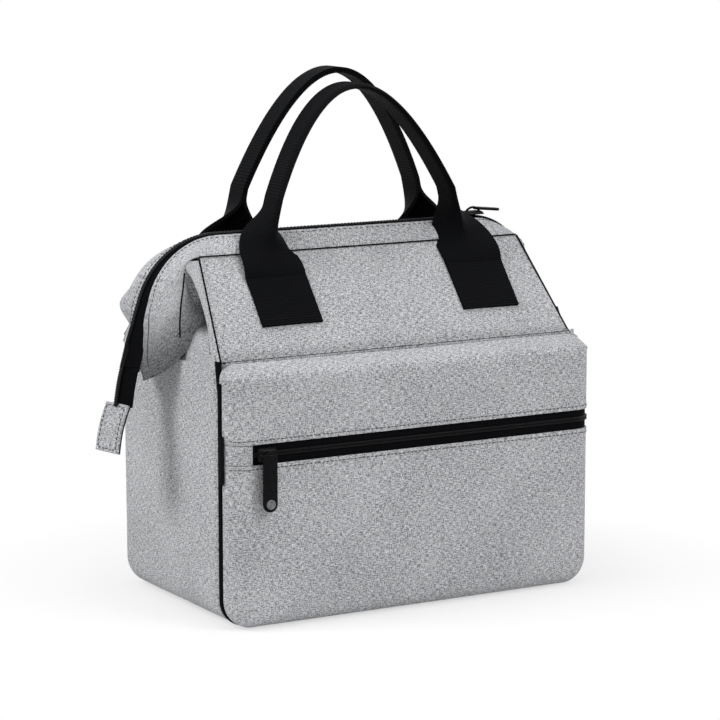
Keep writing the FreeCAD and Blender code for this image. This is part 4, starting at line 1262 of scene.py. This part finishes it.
# %% Slider helper
def hard_block(name, low, high, bevel, material, taper=1.0, axis=2):
    """A cube of that size with rounded edges; the end that faces outward is scaled by the taper."""
    bpy.ops.object.select_all(action="DESELECT")
    bpy.ops.mesh.primitive_cube_add(size=1)
    piece = bpy.context.object
    piece.name = name
    piece.data.name = name
    low, high = np.array(low), np.array(high)
    for vertex in piece.data.vertices:
        share = np.array(vertex.co) + 0.5
        outer = share[axis] > 0.5 if axis == 2 else share[axis] < 0.5
        if outer:
            share = np.where(np.arange(3) == axis, share, 0.5 + (share - 0.5) * taper)
        vertex.co = Vector((low + (high - low) * share) * mm)
    apply_modifier(piece, "BEVEL", width=bevel * mm, segments=4, limit_method="ANGLE")
    piece.data.materials.append(material)
    bpy.ops.object.shade_smooth_by_angle(angle=math.radians(40))
    return piece


def join_pieces(pieces):
    """Make one piece of several, named after the first."""
    bpy.ops.object.select_all(action="DESELECT")
    for piece in pieces:
        piece.select_set(True)
    bpy.context.view_layer.objects.active = pieces[0]
    bpy.ops.object.join()
    return pieces[0]


def bridge(name, start, end, rise, direction, material):
    """The bent bar over a slider that holds its pull."""
    start, end, direction = np.array(start), np.array(end), np.array(direction)

    def centre(share):
        lift = rise * np.sin(math.pi * share) ** 0.6
        spots = start + (end - start) * share[:, None] + direction * lift[:, None]
        return spots[:, 0], spots[:, 1], spots[:, 2]
    return tube(name, centre, 0.7, 14, 24, material, 8)


pocket_slider = join_pieces([
    hard_block("pocket_slider", (-105.2, -74.0, 95.6), (-92.8, -71.1, 104.4), 1.1, black_metal, 0.72, 1),
    bridge("pocket_bridge", (-103.5, -73.6, 100.0), (-94.5, -73.6, 100.0), 2.5, (0, -1, 0), black_metal),
])
dress(pocket_slider, "pocket_zip_slider", "black_metal", "pocket_slider")
main_slider = join_pieces([
    hard_block("main_slider", (77.8, 3.4, 214.9), (90.2, 12.6, 217.0), 0.9, black_metal, 0.75, 2),
    bridge("main_bridge", (79.5, 8.0, 216.6), (88.5, 8.0, 216.6), 2.4, (0, 0, 1), black_metal),
])
dress(main_slider, "main_zip_slider", "black_metal", "main_slider")
print("sliders made")

# %% [markdown]
# The pocket's pull is a flat tongue, rounded at its free end, that hangs from the slider. It starts as a
# cylinder for the round end, and the points of its upper half are moved up to the bar. A small worn disc
# sits near its end.

# %% Pulls
def tongue(name, width, length, thick, material):
    """A flat tongue in the X-Z plane with a round lower end, its face towards -Y, hung from the origin."""
    bpy.ops.object.select_all(action="DESELECT")
    bpy.ops.mesh.primitive_cylinder_add(vertices=32, radius=width / 2 * mm, depth=thick * mm,
                                        rotation=(math.pi / 2, 0, 0))
    piece = bpy.context.object
    piece.name = name
    piece.data.name = name
    bpy.ops.object.transform_apply(location=True, rotation=True, scale=True)
    for vertex in piece.data.vertices:
        neck = 0.62 if vertex.co.z > width * 0.3 * mm else 1.0
        if vertex.co.z > 0.0001:
            vertex.co.z += (length - width) * mm
            vertex.co.x *= neck
        vertex.co.z -= (length - width / 2) * mm
    apply_modifier(piece, "BEVEL", width=0.5 * mm, segments=3, limit_method="ANGLE")
    piece.data.materials.append(material)
    bpy.ops.object.shade_smooth_by_angle(angle=math.radians(40))
    return piece


def settle(piece, place, turn=(0, 0, 0)):
    """Turn and move a finished piece, and put that place into its mesh."""
    piece.rotation_euler = turn
    piece.location = Vector(place) * mm
    bpy.ops.object.select_all(action="DESELECT")
    piece.select_set(True)
    bpy.context.view_layer.objects.active = piece
    bpy.ops.object.transform_apply(location=True, rotation=True, scale=True)
    return piece


pocket_pull = settle(tongue("pocket_pull", 8.8, 34.5, 1.8, black_metal), (-99.0, -75.2, 102.6))
dress(pocket_pull, "pocket_zip_pull", "black_metal", "pocket_pull")
main_pull = settle(tongue("main_pull", 6.6, 18.0, 1.6, black_metal), (84.4, 8.0, 218.6),
                   (math.pi / 2 - 0.1, 0, -math.pi / 2))
dress(main_pull, "main_zip_pull", "black_metal", "main_pull")
bpy.ops.object.select_all(action="DESELECT")
bpy.ops.mesh.primitive_cylinder_add(vertices=32, radius=2.8 * mm, depth=1.0 * mm)
rivet = bpy.context.object
rivet.name = "pull_rivet"
apply_modifier(rivet, "BEVEL", width=0.4 * mm, segments=3, limit_method="ANGLE")
rivet.data.materials.append(worn_metal)
bpy.ops.object.shade_smooth_by_angle(angle=math.radians(40))
settle(rivet, (-99.0, -76.2, 72.6), (math.pi / 2, 0, 0))
dress(rivet, "pocket_zip_pull", "black_metal", "pull_rivet")
print("pulls made")

# %% [markdown]
# ## Stitches
# Rows of stitches hold the cloth beside the zips, along the rolled edges, on the tabs and across the handle
# feet. One stitch is a stretched ball with few faces, copied along each row with its long axis turned the way
# that the row runs.

# %% Stitch rows
bpy.ops.object.select_all(action="DESELECT")
bpy.ops.mesh.primitive_uv_sphere_add(segments=6, ring_count=4, radius=1)
pattern = bpy.context.object
stitch_spots = np.array([vertex.co for vertex in pattern.data.vertices])
stitch_faces = [list(face.vertices) for face in pattern.data.polygons]
bpy.data.objects.remove(pattern)


def stitch_row(name, body, line, length, pitch, material, slot, long=0.95, thick=0.32):
    """Stitches along a line given by arrays from 0 to 1, in millimetres."""
    count = max(int(length / pitch), 2)
    share = (np.arange(count) + 0.5) / count
    middle = np.column_stack(line(share))
    ahead = np.column_stack(line(np.clip(share + 0.002, 0, 1)))
    behind = np.column_stack(line(np.clip(share - 0.002, 0, 1)))
    heading = (ahead - behind) / np.linalg.norm(ahead - behind, axis=1, keepdims=True)
    side = np.cross(heading, (0.31, 0.52, 0.79))
    side /= np.linalg.norm(side, axis=1, keepdims=True)
    rise = np.cross(heading, side)
    spots = (middle[:, None, :] + stitch_spots[None, :, :1] * thick * side[:, None, :]
             + stitch_spots[None, :, 1:2] * thick * rise[:, None, :]
             + stitch_spots[None, :, 2:] * long * heading[:, None, :])
    faces = [[corner + number * len(stitch_spots) for corner in face]
             for number in range(count) for face in stitch_faces]
    mesh = bpy.data.meshes.new(name)
    mesh.from_pydata((spots.reshape(-1, 3) * mm).tolist(), [], faces)
    mesh.uv_layers.new(name="UVMap")
    row = bpy.data.objects.new(name, mesh)
    bpy.context.collection.objects.link(row)
    mesh.materials.append(material)
    mesh.shade_smooth()
    dress(row, body, slot)
    return row


def along_panel(shape, along, start, end, lift):
    """A line on a panel's surface, from one place across it to another, lifted a little towards -Y or out."""
    def line(share):
        x, y, z = shape(start + (end - start) * share, np.full_like(share, along))
        return x + lift[0], y + lift[1], z + lift[2]
    return line


rows = []
for name, shape, along in (("lower", lower_panel_shape, 2.2 / lower_length),
                           ("upper", upper_panel_shape, 2.2 / upper_length)):
    rows.append(stitch_row(f"pocket_{name}_stitches", "tub", along_panel(shape, along, 0.02, 0.97, (0, -0.1, 0)),
                           240, 2.6, thread, "grey_cloth"))
for hand, name in hands:
    hang = hanging_shape(hand, 150.0, 120.5, 15, 28, 19, 19, 2.4, twist=0.24)
    for label, a, b in (("front", (0.1, 0.06), (0.1, 0.94)), ("back", (0.9, 0.06), (0.9, 0.94)),
                        ("top", (0.1, 0.06), (0.9, 0.06)), ("low", (0.1, 0.94), (0.9, 0.94))):
        edge = lambda share, a=a, b=b: hang(a[0] + (b[0] - a[0]) * share, a[1] + (b[1] - a[1]) * share)
        rows.append(stitch_row(f"{name}_tab_{label}_stitches", f"{name}_tail", edge, 24 if a[0] == b[0] else 15, 2.6,
                               thread, "grey_cloth"))
for side, name in mouth_sides:
    for hand, hand_name in hands:
        fold = fold_shape(side, hand)

        def hem_line(share, fold=fold, side=side, hand=hand):
            z = 153 + 45 * share
            width = panel_gap(z) - seam_gap
            x, y, z = fold(np.clip(8.0 / np.maximum(width, 9), 0, 0.9), (z - strip_top) / (201.5 - strip_top))
            return x + hand * 0.15, y, z
        rows.append(stitch_row(f"{hand_name}_{name}_hem_stitches", f"{name}_mouth", hem_line, 60, 2.8, thread,
                               "grey_cloth"))
        foot = foot_shape(side, hand, 190.0 if side < 0 else 178.0)
        rows.append(stitch_row(f"{name}_{hand_name}_foot_stitches", f"{name}_mouth",
                               along_panel(foot, 0.88, 0.08, 0.92, (0, side * 0.1, 0)), 32, 2.4, black_thread,
                               "webbing"))
    band = band_shape(side)
    rows.append(stitch_row(f"{name}_band_stitches", f"{name}_mouth",
                           along_panel(band, 0.86, 0.04, 0.96, (0, side * 0.1, 0.1)), 430, 2.8, thread,
                           "grey_cloth"))
print("stitch rows:", len(rows))

# %% [markdown]
# ## Cloth
# Panels with foam behind them are listed as padded. The thin pieces are listed as sheets: the folded cloth
# of the mouth and the tabs, the lining, the foil, the zip tails and the webbing. A straight cut has the runs
# measured across and along its middle, and webbing its stock width. A cut that isn't a rectangle has its
# longest runs, and the area of its modelled face. The bands and the small tucks taper a lot, so their mean
# runs are given with it. Strips narrower than 10.5 mm, such as the zip tapes, are listed apart. Strips
# narrower than a sheet may be, such as the zip tapes, aren't declared.

fold_words = ("_band", "_fold", "_tuck", "_tab", "_stop")
tapered = ("_band", "_tuck")
straight_cuts = ("_handle", "_foot", "_tab", "_tail", "_stop", "pocket_lining")
sheet_finishes = (grey_cloth, lining, foil, zip_tape, webbing)
thin_strip = 0.0105
pads, sheets, narrow = [], {}, []
for piece in [thing for thing in bpy.data.objects if thing.type == "MESH" and thing.data.materials]:
    material = piece.data.materials[0]
    folded = any(word in piece.name for word in fold_words)
    if material == foam or (material == grey_cloth and not folded):
        pads.append(piece.name)
    elif piece.name in cut_sizes and material in sheet_finishes:
        (width, widest, mean_width), (length, longest, mean_length) = cut_sizes[piece.name]
        width = 2 * web_half * mm if material == webbing else width
        if min(width, length) < thin_strip:
            narrow.append(piece.name)
        elif any(word in piece.name for word in straight_cuts):
            sheets[piece.name] = (round(width * 1000), round(length * 1000))
        else:
            if any(word in piece.name for word in tapered):
                widest, longest = mean_width, mean_length
            sheets[piece.name] = (round(widest * 1000), round(longest * 1000))
print(len(pads), "padded pieces; flat sheets in mm:", sheets)
print("too narrow to declare:", narrow)
